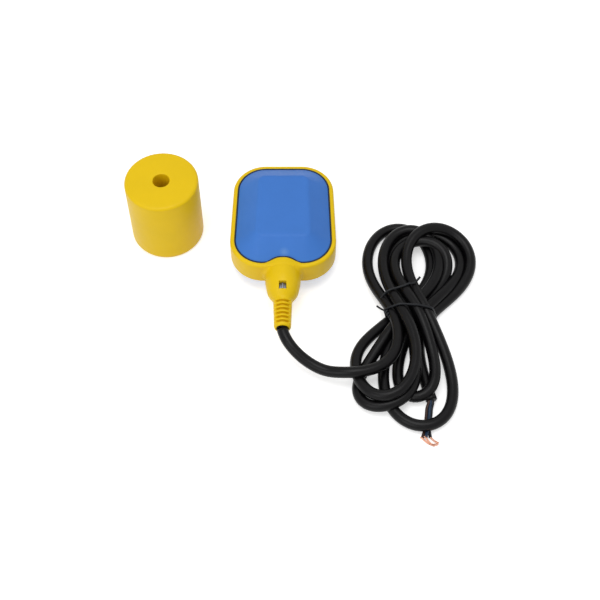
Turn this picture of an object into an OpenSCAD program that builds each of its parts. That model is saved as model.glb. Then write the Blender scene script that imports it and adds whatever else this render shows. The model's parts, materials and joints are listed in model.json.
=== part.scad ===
// Cable float switch with its lead and the counterweight that goes on the lead.
// Two domed half shells are welded at the middle, and a yellow overmould wraps
// the seam and runs on as the neck and the grooved boot of the lead. Inside, a
// steel ball rolls in a race and pushes the lever of a small snap switch.
// Millimetres, +Z up. The origin is the middle of the float's lower flat face,
// +Y runs to the float's closed end and -Y along the neck.

/* [Float body] */
// Width over the yellow band at the neck end
float_w = 80; // [76:1:90]
// Length over the yellow band
float_l = 97; // [94:1:110]
// Thickness over both domes
float_t = 44; // [43:1:50]
// Height of the yellow band
band_h = 20; // [18:1:22]
// Corner radius of the band in plan
corner_r = 25; // [22:1:28]
// How much each side draws in towards the closed end
side_taper = 1.35; // [0:0.15:2.4]
// Width of the yellow rim seen around a dome
rim_w = 4; // [3.2:0.2:4.8]
// Radius on the outer edges of the band
band_edge_r = 2; // [1:0.25:2.5]
// Width of a dome's sloping border in plan
dome_run = 15; // [12:0.5:16]
// Wall of the half shells
shell_wall = 2.5; // [2:0.1:3]
// Height of the lap joint between the half shells
lap_h = 2; // [1.5:0.25:3]

/* [Seam bead] */
// Width of the dark bead between rim and dome
bead_w = 0.8; // [0.6:0.1:1.2]
// Depth of the bead's rebate
bead_h = 1.4; // [1:0.1:2]
// How far the bead lies below the rim
bead_sink = 0.2; // [0.1:0.1:0.5]

/* [Neck and boot] */
// Diameter of the neck
neck_d = 26.4; // [24:0.2:28]
// How far the neck reaches in past the end of the band
neck_reach = 7; // [6:0.25:8]
// Straight part of the neck outside the band
neck_l = 8.5; // [7:0.5:12]
// Length of the shoulder that draws in to the boot
shoulder_l = 17.2; // [15:0.2:20]
// Diameter of the boot at the shoulder
boot_d = 15.1; // [14:0.1:16]
// Diameter of the boot at its tip
boot_tip_d = 12.8; // [11.6:0.2:13.6]
// Length of the boot
boot_l = 23.3; // [22:0.1:28]
// Number of grooves across the boot
groove_count = 6; // [3:1:6]
// Distance from groove to groove
groove_pitch = 3.45; // [3:0.05:3.5]
// Width of a groove
groove_w = 1.7; // [1.2:0.1:2]
// Length of a groove across the boot
groove_chord = 9.6; // [8:0.2:10.4]
// Distance from the shoulder to the first groove
groove_start = 1.9; // [1.5:0.1:2.4]
// Width of the window over the cord clamp
window_w = 4.8; // [4:0.2:6]
// Length of the window over the cord clamp
window_l = 5.6; // [4.6:0.2:7]
// Distance from the band's end to the window
window_y = 14; // [12:0.5:15]

/* [Cord entry] */
// Diameter of the cord's jacket
cord_d = 8.4; // [7.8:0.1:8.8]
// Diameter of the cord clamp
clamp_d = 12.8; // [11.6:0.2:13.6]
// Length of the cord clamp
clamp_l = 11; // [9:0.5:12]
// Distance from the band's end to the cord clamp
clamp_y = 11.5; // [10:0.5:13]
// Thickness of the gland washer
washer_t = 1; // [0.8:0.1:1.5]
// Diameter of the rubber gland seal
seal_d = 16; // [14:0.5:17]
// Length of the seal outside the shells
seal_l = 8.5; // [6:0.5:9]
// Diameter of the seal's inner flange
seal_flange_d = 19; // [18:0.5:20]
// Thickness of the seal's inner flange
seal_flange_t = 1.5; // [1:0.25:2]
// Length of cord jacket inside the float
cord_inside = 1.5; // [1:0.25:2.5]
// Room for the wires between the cord's jacket and the terminals
wire_room = 6; // [5:0.25:7]

/* [Cores] */
// Diameter of a core over its insulation
core_d = 2.6; // [2.2:0.1:2.8]
// Diameter of a core's copper
copper_d = 1.7; // [1.3:0.1:2]

/* [Tilt switch] */
// Diameter of the steel ball
ball_d = 14; // [12:0.5:14.5]
// Running gap between ball and race
ball_gap = 0.3; // [0.2:0.05:0.5]
// Gap between the far end of the race and the shell
race_end_gap = 2; // [1:0.25:3]
// Outer width of the ball race
race_w = 24; // [23:0.5:26]
// Wall at the ends and under the trough
race_wall = 1.5; // [1.2:0.1:2]
// Thickness of the carrier plate
plate_t = 2; // [1.6:0.1:2.4]
// Gap between the edge of the carrier plate and the shell
plate_gap = 0.6; // [0.4:0.1:1.5]
// Height of the carrier's posts over the shell's floor
post_h = 2.5; // [2:0.25:3]
// Diameter of the carrier's posts
post_d = 6.4; // [5.6:0.2:7.6]
// Distance from a post to the edge of the carrier plate
post_edge = 0.6; // [0.4:0.1:1]

/* [Snap switch] */
// Length of the switch case
case_l = 27.8; // [27:0.1:28.5]
// Width of the switch case
case_w = 10.3; // [9.6:0.1:11]
// Height of the switch case
case_h = 15.9; // [15.2:0.1:16.2]
// Distance from the case to the ball race
case_gap = 4.2; // [3.8:0.1:5]
// Distance from the case's near end to the lever's pin
pin_y = 6; // [5:0.25:7]
// Height of the lever's pin over the case
pin_z = 2; // [1.9:0.05:2.4]
// Diameter of the lever's pin
pin_d = 1.5; // [1.2:0.05:1.6]
// Width of the lever
lever_w = 4.5; // [4:0.1:5]
// Thickness of the lever
lever_t = 0.8; // [0.6:0.05:1]
// Diameter of the curl at the lever's pin
curl_d = 3.2; // [3:0.05:3.4]
// How far the lever's paddle stands inside the race
paddle_in = 2.2; // [1.8:0.1:3]
// How far the paddle reaches down from the lever's top
paddle_h = 7; // [5:0.25:8]
// Distance from the lever's pin to the button
button_y = 12; // [11:0.25:13]
// Length of the button
button_l = 3; // [2.4:0.1:3.6]
// Width of the button
button_w = 2.4; // [2:0.1:3]
// How deep the button's pocket is
pocket_h = 4; // [3.5:0.25:5]
// Width of a terminal
terminal_w = 4.8; // [4.2:0.1:5.4]
// Thickness of a terminal
terminal_t = 0.8; // [0.6:0.05:1]
// Length of a terminal outside the case
terminal_l = 6; // [5:0.25:6.5]
// Distance from terminal to terminal
terminal_pitch = 4; // [3.6:0.1:4.4]

/* [Screws] */
// Thread diameter of the screws
screw_d = 2.2; // [1.8:0.1:2.4]
// Head diameter of the screws
screw_head_d = 4; // [3.4:0.1:4.2]
// Head height of the screws
screw_head_h = 1.4; // [1:0.1:1.8]
// Distance from a race screw to the end of the race
race_screw_end = 4.5; // [4:0.25:6]

/* [Counterweight] */
// Diameter of the counterweight
weight_d = 55.5; // [48:0.5:60]
// Height of the counterweight
weight_h = 62; // [50:1:75]
// Diameter of the hole for the cord
weight_hole_d = 12.5; // [10:0.5:14]
// Wall of the counterweight's shell
weight_wall = 2.5; // [2:0.1:3.5]
// Thickness of the counterweight's base disc
weight_base_t = 3; // [2:0.25:4]
// Radius on the counterweight's top edge
weight_top_r = 2.2; // [1:0.1:3]
// Radius on the counterweight's bottom edge
weight_foot_r = 2; // [1:0.1:2.2]
// Sideways place of the counterweight's axis
weight_x = -91; // [-110:1:-80]
// Lengthways place of the counterweight's axis
weight_y = 9; // [-20:1:30]

/* [Fits] */
// Gap between pieces that are pushed or moulded together
seat_gap = 0.05; // [0.02:0.01:0.08]
// Gap around pieces that move
run_gap = 0.3; // [0.25:0.05:0.4]
// Radial gap of the lever's curl on its pin
pin_gap = 0.08; // [0.05:0.01:0.1]

/* [Hidden] */
$fn = 48;

blue = [0.27, 0.47, 0.79];
yellow = [0.94, 0.78, 0.12];
dark = [0.13, 0.14, 0.16];
black = [0.12, 0.12, 0.13];
steel = [0.72, 0.73, 0.75];
brass = [0.80, 0.64, 0.30];
ivory = [0.88, 0.86, 0.80];
copper = [0.80, 0.48, 0.32];

arc_steps = 7;
over = 1;
mid_z = float_t / 2;
band_lo = mid_z - band_h / 2;
band_hi = mid_z + band_h / 2;
end_y = float_l / 2;
cord_r = cord_d / 2;
neck_r = neck_d / 2;
neck_in_y = -end_y + neck_reach;
neck_out_y = -end_y - neck_l;
boot_y = neck_out_y - shoulder_l;
tip_y = boot_y - boot_l;
notch_y = neck_in_y + bead_w;
wall_in_y = notch_y + shell_wall;
seal_out_y = neck_in_y - seal_l;
flange_y = wall_in_y + seal_flange_t;
jacket_y = flange_y + cord_inside;

// Rounded plan outline of the float, drawn in from the band by inset,
// with the same corner centres at every inset.
function corner(x, y, r, from) =
    [for (i = [0 : arc_steps]) let (a = from + 90 * i / arc_steps) [x + r * cos(a), y + r * sin(a)]];
function outline(inset) =
    let (x0 = float_w / 2 - corner_r, x1 = x0 - side_taper, y0 = end_y - corner_r, r = corner_r - inset)
    concat(corner(x0, -y0, r, -90), corner(x1, y0, r, 0), corner(-x1, y0, r, 90), corner(-x0, -y0, r, 180));

// Solid through a stack of such outlines, each given as [inset, height].
module float_loft(rings) {
    n = 4 * (arc_steps + 1);
    top = len(rings) - 1;
    pts = [for (ring = rings) for (p = outline(ring[0])) [p[0], p[1], ring[1]]];
    sides = [for (k = [0 : top - 1]) for (i = [0 : n - 1])
        let (j = (i + 1) % n) [k * n + i, (k + 1) * n + i, (k + 1) * n + j, k * n + j]];
    floor_face = [for (i = [0 : n - 1]) i];
    roof_face = [for (i = [n - 1 : -1 : 0]) top * n + i];
    polyhedron(pts, concat([floor_face], sides, [roof_face]));
}

// Round bar along Y at the height of the cord.
module bar(r, from_y, to_y) {
    translate([0, to_y, mid_z])
    rotate([90, 0, 0])
    cylinder(r = r, h = to_y - from_y);
}

// Outer and inner forms of one dome, from the weld plane up.
dome_slope = (float_t - band_hi) / dome_run;
module dome_outside() {
    float_loft([[rim_w, mid_z], [rim_w, band_hi], [rim_w + dome_run, float_t]]);
}
slope_z = band_hi - shell_wall / 2;
function inner_inset(z) = rim_w + shell_wall + (z - slope_z) / dome_slope;
module dome_inside() {
    top_z = float_t - shell_wall;
    float_loft([[inner_inset(slope_z), mid_z - over], [inner_inset(slope_z), slope_z], [inner_inset(top_z), top_z]]);
}
module flip() {
    translate([0, 0, float_t])
    mirror([0, 0, 1])
    children();
}

// One half shell, without its lap joint. The neck passes through a notch.
module half_shell() {
    difference() {
        dome_outside();
        difference() {
            dome_inside();
            bar(neck_r + bead_w + shell_wall, -end_y, wall_in_y);
        }
        bar(neck_r + bead_w, -end_y, notch_y);
        bar(seal_d / 2 + seat_gap, -end_y, wall_in_y + over);
    }
}

// Wall strip of the lap joint, on the inner half of the shell's wall.
module lap_strip(gap, low, high) {
    difference() {
        float_loft([[rim_w + shell_wall / 2 - gap, low], [rim_w + shell_wall / 2 - gap, high]]);
        float_loft([[rim_w + shell_wall, low - over], [rim_w + shell_wall, high + over]]);
        bar(neck_r + bead_w + shell_wall + over, -end_y, wall_in_y + over);
    }
}

module upper_shell() {
    color(blue)
    difference() {
        half_shell();
        lap_strip(seat_gap, mid_z - over, mid_z + lap_h + seat_gap);
    }
}

// The works stand in a row along the float: wires, terminals, switch, race.
case_y = jacket_y + wire_room + terminal_l;
case_end_y = case_y + case_l;
race_y = case_end_y + case_gap;
race_end_y = end_y - rim_w - shell_wall - race_end_gap;
race_l = race_end_y - race_y;
plate_z = shell_wall + post_h;
deck_z = plate_z + plate_t;
plate_inset = inner_inset(float_t - plate_z) + plate_gap;
post_x = float_w / 2 - side_taper - plate_inset - post_d / 2 - post_edge;
post_y = end_y - corner_r;
module at_posts() {
    for (x = [-post_x, post_x], y = [-post_y, post_y])
        translate([x, y, 0])
        children();
}

module lower_shell() {
    color(blue)
    difference() {
        union() {
            flip() half_shell();
            lap_strip(0, mid_z - over, mid_z + lap_h);
            intersection() {
                at_posts() cylinder(d = post_d, h = plate_z);
                flip() dome_outside();
            }
        }
        at_posts()
        translate([0, 0, shell_wall])
        cylinder(d = screw_d + 2 * seat_gap, h = plate_z);
    }
}

// Profile of the neck and boot: radius against distance from the tip.
function shoulder(t) = boot_d / 2 + (neck_r - boot_d / 2) * cos(90 * t);
neck_profile = concat(
    [[0, 0], [boot_tip_d / 2 - 0.5, 0], [boot_tip_d / 2, 0.5]],
    [for (i = [0 : 10]) [shoulder(1 - i / 10), boot_l + shoulder_l * i / 10]],
    [[neck_r, neck_in_y - tip_y], [0, neck_in_y - tip_y]]
);

module neck_solid() {
    translate([0, tip_y, mid_z])
    rotate([-90, 0, 0])
    rotate_extrude()
    polygon(neck_profile);
}

module boot_grooves() {
    for (i = [0 : groove_count - 1]) {
        y = boot_y - groove_start - groove_pitch * i;
        r = boot_d / 2 + (boot_tip_d - boot_d) / 2 * (boot_y - y) / boot_l;
        depth_z = sqrt(pow(r, 2) - pow(groove_chord / 2, 2));
        for (side = [0, 1])
            translate([0, y, mid_z])
            mirror([0, 0, side])
            translate([-groove_chord, -groove_w / 2, depth_z])
            cube([2 * groove_chord, groove_w, boot_d]);
    }
}

// Stack of outlines for the band, with its four outer edges rounded.
band_rings = concat(
    [for (a = [0 : 30 : 90]) [band_edge_r * (1 - sin(a)), band_lo + band_edge_r * (1 - cos(a))]],
    [for (a = [90 : -30 : 0]) [band_edge_r * (1 - sin(a)), band_hi - band_edge_r * (1 - cos(a))]]
);

module band_and_boot() {
    color(yellow)
    difference() {
        union() {
            difference() {
                float_loft(band_rings);
                float_loft([[rim_w - seat_gap, band_lo - over], [rim_w - seat_gap, band_hi + over]]);
                for (z = [band_lo - over, band_hi - bead_h])
                    float_loft([[rim_w - bead_w, z], [rim_w - bead_w, z + over + bead_h]]);
            }
            neck_solid();
        }
        bar(cord_r + seat_gap, tip_y - over, neck_in_y + over);
        bar(seal_d / 2 + seat_gap, seal_out_y - washer_t - seat_gap, neck_in_y + over);
        bar(clamp_d / 2 + seat_gap, -end_y - clamp_y - clamp_l - seat_gap, -end_y - clamp_y + seat_gap);
        translate([-window_w / 2, -end_y - window_y - window_l, mid_z])
        cube([window_w, window_l, neck_d]);
        boot_grooves();
    }
}

// Bead in the rebate between rim and dome, carried on around the end of the neck.
module seam_bead() {
    difference() {
        float_loft([[rim_w - bead_w + seat_gap, band_hi - bead_h + seat_gap],
            [rim_w - bead_w + seat_gap, band_hi - bead_sink]]);
        float_loft([[rim_w - seat_gap, band_lo], [rim_w - seat_gap, band_hi + over]]);
        bar(neck_r + seat_gap, tip_y, neck_in_y);
    }
    intersection() {
        difference() {
            bar(neck_r + bead_w - seat_gap, -end_y + rim_w - seat_gap, notch_y - seat_gap);
            bar(neck_r + seat_gap, -end_y, neck_in_y + seat_gap);
            bar(seal_d / 2 + seat_gap, -end_y, notch_y + over);
        }
        dome_outside();
        translate([-neck_d, -end_y, mid_z + seat_gap])
        cube([2 * neck_d, end_y, float_t]);
    }
}

module upper_bead() {
    color(dark)
    seam_bead();
}

module lower_bead() {
    color(dark)
    flip()
    seam_bead();
}

module cord_clamp() {
    color(steel)
    difference() {
        bar(clamp_d / 2, -end_y - clamp_y - clamp_l, -end_y - clamp_y);
        bar(cord_r + seat_gap, tip_y, 0);
    }
}

module gland_washer() {
    color(steel)
    difference() {
        bar(seal_d / 2, seal_out_y - washer_t, seal_out_y);
        bar(cord_r + seat_gap, tip_y, 0);
    }
}

module gland_seal() {
    color(dark)
    difference() {
        union() {
            bar(seal_d / 2, seal_out_y, wall_in_y + seal_flange_t / 2);
            bar(seal_flange_d / 2, wall_in_y, flange_y);
        }
        bar(cord_r + seat_gap, tip_y, 0);
    }
}

module cord_inner() {
    color(black)
    bar(cord_r, tip_y, jacket_y);
}

// Race of the steel ball: a block with a trough along Y, split at mid_z.
ball_r = ball_d / 2;
trough_r = ball_r + ball_gap;
far_ball_y = race_end_y - race_wall - ball_gap - ball_r;
slot_w = lever_w + 4 * run_gap;
slot_depth = paddle_h + 2.5;
race_screw_x = (trough_r + race_w / 2) / 2;
module at_race_screws() {
    for (x = [-race_screw_x, race_screw_x], y = [race_y + race_screw_end, race_end_y - race_screw_end])
        translate([x, y, 0])
        children();
}
module race_hollow() {
    bar(trough_r, race_y + race_wall, race_end_y - race_wall);
    translate([-slot_w / 2, race_y - over, lever_top_z - slot_depth])
    cube([slot_w, race_wall + 2 * over, slot_depth + 2]);
}

module carrier() {
    color(ivory)
    difference() {
        union() {
            float_loft([[plate_inset, plate_z], [plate_inset, deck_z]]);
            translate([-race_w / 2, race_y, deck_z - plate_t / 2])
            cube([race_w, post_y + post_d / 2 - race_y, mid_z - deck_z + plate_t / 2]);
            translate([-race_w / 2, race_y, mid_z - trough_r - race_wall])
            cube([race_w, race_l, trough_r + race_wall]);
            for (side = [-1, 1])
                translate([side * (case_w / 2 + seat_gap + rib_t / 2), case_y + case_l / 2, deck_z + rib_h / 2])
                cube([rib_t, case_l - 4, rib_h + plate_t], center = true);
        }
        race_hollow();
        at_posts()
        translate([0, 0, plate_z - over]) {
            cylinder(d = screw_d + 2 * seat_gap, h = plate_t + 2 * over);
            translate([0, 0, over + plate_t])
            cylinder(d = screw_head_d + 2 * run_gap, h = mid_z);
        }
        at_race_screws()
        translate([0, 0, mid_z - race_screw_l])
        cylinder(d = screw_d + 2 * seat_gap, h = race_screw_l + over);
    }
}
rib_t = 1.5;
rib_h = 6;
race_screw_l = 7;

module screw(grip, bite) {
    translate([0, 0, -bite])
    cylinder(d = screw_d, h = grip + bite + 0.1);
    translate([0, 0, grip])
    cylinder(d = screw_head_d, h = screw_head_h);
}

module carrier_screws() {
    color(steel)
    at_posts()
    translate([0, 0, plate_z])
    screw(plate_t, post_h - 0.3);
}

cover_h = trough_r + race_wall;
module race_cover() {
    color(ivory)
    difference() {
        translate([-race_w / 2, race_y, mid_z])
        cube([race_w, race_l, cover_h]);
        race_hollow();
        at_race_screws()
        translate([0, 0, mid_z - over]) {
            cylinder(d = screw_d + 2 * seat_gap, h = cover_h);
            translate([0, 0, over + ear_t])
            cylinder(d = screw_head_d + 4 * seat_gap, h = cover_h);
        }
        for (side = [-1, 1])
            translate([side * (trough_r + 1.2 + race_w) - race_w / 2, race_y - over, mid_z + ear_t])
            cube([race_w, race_l + 2 * over, cover_h]);
    }
}
ear_t = 3;

module cover_screws() {
    color(steel)
    at_race_screws()
    translate([0, 0, mid_z])
    screw(ear_t, race_screw_l - 1);
}

module ball() {
    color(steel)
    translate([0, far_ball_y, mid_z])
    sphere(d = ball_d);
}

// Snap switch on the carrier's deck, its lever pointing at the race.
case_top_z = deck_z + case_h;
pivot_y = case_y + pin_y;
pivot_z = case_top_z + pin_z;
lever_low_z = pivot_z - lever_t / 2;
lever_top_z = pivot_z + lever_t / 2;
ear_in = lever_w / 2 + run_gap;
ear_r = 2;
pocket_y = pivot_y + button_y;
terminal_z = mid_z - 2;
module terminal_bar(index, grow = 0) {
    translate([-terminal_w / 2 - grow, case_y - terminal_l, terminal_z - index * terminal_pitch - terminal_t / 2 - grow])
    cube([terminal_w + 2 * grow, terminal_l + terminal_seat, terminal_t + 2 * grow]);
}
terminal_seat = 2;

module switch_case() {
    color(black)
    difference() {
        union() {
            translate([-case_w / 2, case_y, deck_z])
            cube([case_w, case_l, case_h]);
            for (side = [-1, 1])
                translate([side * (ear_in + case_w / 2) / 2, pivot_y, case_top_z])
                lever_ear();
        }
        translate([-case_w, pivot_y, pivot_z])
        rotate([0, 90, 0])
        cylinder(d = pin_d + 2 * seat_gap, h = 2 * case_w);
        translate([-button_w / 2 - run_gap, pocket_y - button_l / 2 - run_gap, case_top_z - pocket_h])
        cube([button_w + 2 * run_gap, button_l + 2 * run_gap, pocket_h + over]);
        for (i = [0 : 2])
            terminal_bar(i, seat_gap);
    }
}

module lever_ear() {
    t = case_w / 2 - ear_in;
    translate([-t / 2, -ear_r, -over])
    cube([t, 2 * ear_r, pin_z + over]);
    translate([-t / 2, 0, pin_z])
    rotate([0, 90, 0])
    cylinder(r = ear_r, h = t);
}

module terminal_common() {
    color(brass)
    terminal_bar(0);
}

module terminal_open() {
    color(brass)
    terminal_bar(1);
}

module terminal_closed() {
    color(brass)
    terminal_bar(2);
}

button_travel = 1;
module button() {
    low_z = case_top_z - pocket_h + button_travel + run_gap;
    color(ivory)
    translate([-button_w / 2, pocket_y - button_l / 2, low_z])
    cube([button_w, button_l, lever_low_z - run_gap - low_z]);
}

paddle_y = race_y + race_wall + paddle_in;
module lever() {
    color(steel)
    difference() {
        union() {
            translate([-lever_w / 2, pivot_y, pivot_z])
            rotate([0, 90, 0])
            cylinder(d = curl_d, h = lever_w);
            translate([-lever_w / 2, pivot_y, lever_low_z])
            cube([lever_w, paddle_y - pivot_y, lever_t]);
            translate([-lever_w / 2, paddle_y - lever_t, lever_top_z - paddle_h])
            cube([lever_w, lever_t, paddle_h]);
        }
        translate([-lever_w, pivot_y, pivot_z])
        rotate([0, 90, 0])
        cylinder(d = pin_d + 2 * pin_gap, h = 2 * lever_w);
    }
}

module lever_pin() {
    color(steel)
    translate([-case_w / 2, pivot_y, pivot_z])
    rotate([0, 90, 0])
    cylinder(d = pin_d, h = case_w);
}

// Tube swept along points: at each point a ring stands square to the run.
function unit(v) = v / norm(v);
function run_at(p, i) = unit(p[min(i + 1, len(p) - 1)] - p[max(i - 1, 0)]);
module swept_tube(p, d, sides) {
    rings = len(p);
    pts = [for (i = [0 : rings - 1])
        let (t = run_at(p, i), s = unit(cross(t, [0, 0, 1])), u = cross(s, t))
        for (k = [0 : sides - 1]) let (a = 360 * (k + 0.5) / sides) p[i] + d / 2 * (cos(a) * s + sin(a) * u)];
    walls = [for (i = [0 : rings - 2]) for (k = [0 : sides - 1])
        let (m = (k + 1) % sides) [i * sides + k, i * sides + m, (i + 1) * sides + m, (i + 1) * sides + k]];
    near_face = [for (k = [sides - 1 : -1 : 0]) k];
    far_face = [for (k = [0 : sides - 1]) (rings - 1) * sides + k];
    polyhedron(pts, concat([near_face], walls, [far_face]));
}

// Short wires from the terminals to the end of the cord's jacket.
wire_pitch = cord_r * 0.52;
function wire_route(index) =
    let (a = 90 + 120 * index, x = wire_pitch * cos(a), z = mid_z + wire_pitch * sin(a),
        near_y = case_y - terminal_l, low_z = terminal_z - index * terminal_pitch, gap = near_y - jacket_y)
    [[0, near_y, low_z], [0, near_y - gap * 0.12, low_z], [x * 1.3, near_y - gap * 0.4, low_z + (z - low_z) * 0.2],
        [x * 1.5, near_y - gap * 0.65, low_z + (z - low_z) * 0.75], [x, near_y - gap * 0.88, z], [x, jacket_y, z]];

module wire_common() {
    color("saddlebrown")
    swept_tube(wire_route(0), core_d, 8);
}

module wire_open() {
    color(black)
    swept_tube(wire_route(1), core_d, 8);
}

module wire_closed() {
    color("navy")
    swept_tube(wire_route(2), core_d, 8);
}

// Counterweight: a moulded shell with a tube for the cord, ballast and base disc.
hole_r = weight_hole_d / 2;
weight_r = weight_d / 2;
tube_r = hole_r + weight_wall;
module at_weight() {
    translate([weight_x, weight_y, 0])
    children();
}

function fillet(x, y, r, from) = [for (a = [from : 15 : from + 90]) [x + r * cos(a), y + r * sin(a)]];

module weight_shell() {
    color(yellow)
    at_weight()
    rotate_extrude($fn = 96)
    polygon(concat(
        [[weight_r - weight_wall, 0]],
        fillet(weight_r - weight_foot_r, weight_foot_r, weight_foot_r, -90),
        fillet(weight_r - weight_top_r, weight_h - weight_top_r, weight_top_r, 0),
        [[hole_r, weight_h], [hole_r, 0], [tube_r, 0], [tube_r, weight_h - weight_wall],
            [weight_r - weight_wall, weight_h - weight_wall]]
    ));
}

module weight_ring(low, high, gap) {
    at_weight()
    translate([0, 0, low])
    difference() {
        cylinder(r = weight_r - weight_wall - gap, h = high - low, $fn = 96);
        translate([0, 0, -over])
        cylinder(r = tube_r + gap, h = high - low + 2 * over, $fn = 96);
    }
}

module weight_ballast() {
    color([0.35, 0.34, 0.33])
    weight_ring(weight_base_t, weight_h - weight_wall, seat_gap);
}

module weight_base() {
    color(yellow)
    weight_ring(0, weight_base_t, seat_gap);
}

// Route of the lead from the boot's tip to the side of the hank.
lead_route = [
    [0, tip_y, mid_z], [0, tip_y - 4, mid_z], [2, -106, 19.5], [6, -110, 15], [12, -113, 10.5],
    [19, -115, 7], [27, -117.5, 4.8], [36, -120, 4.4], [44, -122, 5.5], [52, -124, 8.4]
];
hank_h = 2 * cord_d;
lobe_far = [104, -31, 43, 40];
lobe_near = [89, -127, 39, 44];
waist_x = [75, 113];
waist_y = [-95, -58];
tie_y = -70;
tie_w = 4.4;
tie_t = 1.4;

function lobe(c) = [for (a = [0 : 12 : 348]) [c[0] + c[2] * cos(a), c[1] + c[3] * sin(a)]];
module hank_outline() {
    polygon(lobe(lobe_far));
    polygon(lobe(lobe_near));
    translate([waist_x[0], waist_y[0]])
    square([waist_x[1] - waist_x[0], waist_y[1] - waist_y[0]]);
}

module tie_block(inset, y_gap) {
    translate([waist_x[0] + inset, tie_y - tie_w / 2 - y_gap, inset])
    cube([waist_x[1] - waist_x[0] - 2 * inset, tie_w + 2 * y_gap, hank_h - 2 * inset]);
}

module hank_body(grow = 0) {
    translate([0, 0, -grow])
    linear_extrude(height = hank_h + 2 * grow)
    hank_outline();
}

module cord_lead() {
    color(black)
    difference() {
        swept_tube(lead_route, cord_d, 10);
        hank_body(over);
    }
}

// The hank lies flat, figure-eight, one layer of cord crossing on the other.
module cord_hank() {
    color(black)
    difference() {
        hank_body();
        difference() {
            translate([waist_x[0] - lobe_far[2], tie_y - tie_w / 2 - seat_gap, -over])
            cube([3 * lobe_far[2], tie_w + 2 * seat_gap, hank_h + 2 * over]);
            tie_block(tie_t + seat_gap, over);
        }
    }
}

module cord_tie() {
    color(dark)
    difference() {
        tie_block(0, 0);
        tie_block(tie_t, over);
    }
}

// Three stripped cores come out from under the hank, side by side.
core_x = [99, 102.4, 105.8];
core_start_y = -166;
core_l = 8;
copper_l = 8;
core_end_y = core_start_y - core_l;
module core(index) {
    difference() {
        translate([core_x[index], core_start_y, core_d / 2])
        rotate([90, 0, 0])
        cylinder(d = core_d, h = core_l);
        hank_body(over);
    }
}

module core_brown() {
    color("saddlebrown")
    core(0);
}

module core_blue() {
    color("navy")
    core(1);
}

module core_black() {
    color(black)
    core(2);
}

module copper_ends() {
    color(copper)
    for (x = core_x)
        translate([x, core_end_y, core_d / 2])
        rotate([90, 0, 0])
        cylinder(d = copper_d, h = copper_l);
}

upper_shell();
lower_shell();
band_and_boot();
upper_bead();
lower_bead();
cord_clamp();
gland_washer();
gland_seal();
cord_inner();
carrier();
carrier_screws();
race_cover();
cover_screws();
ball();
switch_case();
terminal_common();
terminal_open();
terminal_closed();
button();
lever();
lever_pin();
wire_common();
wire_open();
wire_closed();
weight_shell();
weight_ballast();
weight_base();
cord_lead();
cord_hank();
cord_tie();
core_brown();
core_blue();
core_black();
copper_ends();
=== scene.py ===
"""Looks of a cable float switch: float, grooved boot, tied hank of cord and counterweight."""

import json
import math

import bmesh
import bpy
import numpy as np
from bpy.props import FloatProperty, FloatVectorProperty, PointerProperty
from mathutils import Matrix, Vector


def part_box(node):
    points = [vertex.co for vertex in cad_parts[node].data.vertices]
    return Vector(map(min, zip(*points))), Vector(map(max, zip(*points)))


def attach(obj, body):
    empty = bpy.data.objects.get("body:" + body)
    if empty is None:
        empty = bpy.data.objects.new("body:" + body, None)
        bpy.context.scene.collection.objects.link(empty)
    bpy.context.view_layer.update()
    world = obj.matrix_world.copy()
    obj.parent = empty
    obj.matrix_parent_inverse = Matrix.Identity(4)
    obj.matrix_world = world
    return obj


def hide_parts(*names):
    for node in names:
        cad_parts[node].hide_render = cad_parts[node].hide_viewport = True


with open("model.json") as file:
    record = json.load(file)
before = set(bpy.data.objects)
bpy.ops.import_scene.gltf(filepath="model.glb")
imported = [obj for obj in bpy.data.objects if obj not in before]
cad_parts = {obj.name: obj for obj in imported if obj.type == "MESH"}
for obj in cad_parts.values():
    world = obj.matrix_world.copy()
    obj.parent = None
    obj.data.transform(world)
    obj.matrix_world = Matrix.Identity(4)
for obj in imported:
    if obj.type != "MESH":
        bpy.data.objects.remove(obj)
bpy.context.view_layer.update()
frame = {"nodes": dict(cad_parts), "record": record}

bl_info = {
    "name": "Cable Float Switch",
    "version": (1, 0, 0),
    "blender": (4, 5, 0),
    "location": "View3D > Sidebar > Float Switch",
    "description": "Builds the skins, cord and finishes of a cable float switch around its frame",
    "category": "Object",
}

MM = 0.001
BODY = "float"

# Boxes of the CAD nodes that the skins stand for or fit to.
BAND_LOW, BAND_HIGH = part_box("band_and_boot")
WEIGHT_LOW, WEIGHT_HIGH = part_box("weight_shell")
CLAMP_LOW, CLAMP_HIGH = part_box("cord_clamp")
WASHER_LOW, WASHER_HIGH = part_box("gland_washer")
INNER_CORD_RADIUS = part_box("cord_inner")[1].x
END_Y = BAND_HIGH.y
TIP_Y = BAND_LOW.y
FLOAT_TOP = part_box("upper_shell")[1].z
MID_Z = FLOAT_TOP / 2
CORD_EXIT = (0.0, TIP_Y, MID_Z)

# Camera, in metres and degrees, and the lamps as (name, place, point they face, side, watts).
CAMERA_PLACE = (0.0127, -0.54988, 0.74466)
CAMERA_TILT = 33.5
CAMERA_LENS_MM = 70.6
LAMPS = [
    ("key_box", (-0.05, -0.1, 1.5), (0.02, -0.06, 0), 0.9, 9.0),
    ("fill_box", (-0.8, -1.1, 0.95), (0.0, -0.06, 0), 1.0, 6.0),
]
FLOOR_HALF = 3.0
FLOOR_GLOW = 0.48
FLOOR_FAR_GLOW = 2.2
WORLD_LIGHT = 0.5

# Colours that lie over a finish in places, one of them painted shade in the boot's grooves, and rust on the
# ballast, in linear values.
GATE_PALE = (0.17, 0.34, 0.66)
GROOVE_SHADE_YELLOW = (0.64, 0.385, 0.002)
RUST = (0.16, 0.06, 0.025)
# Middle and radius of the pale mark that the mould's gate leaves on the upper dome.
GATE_PLACE = (0.001, -END_Y + 0.0098, FLOAT_TOP - 0.0075)
GATE_RADIUS = 0.0042

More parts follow.
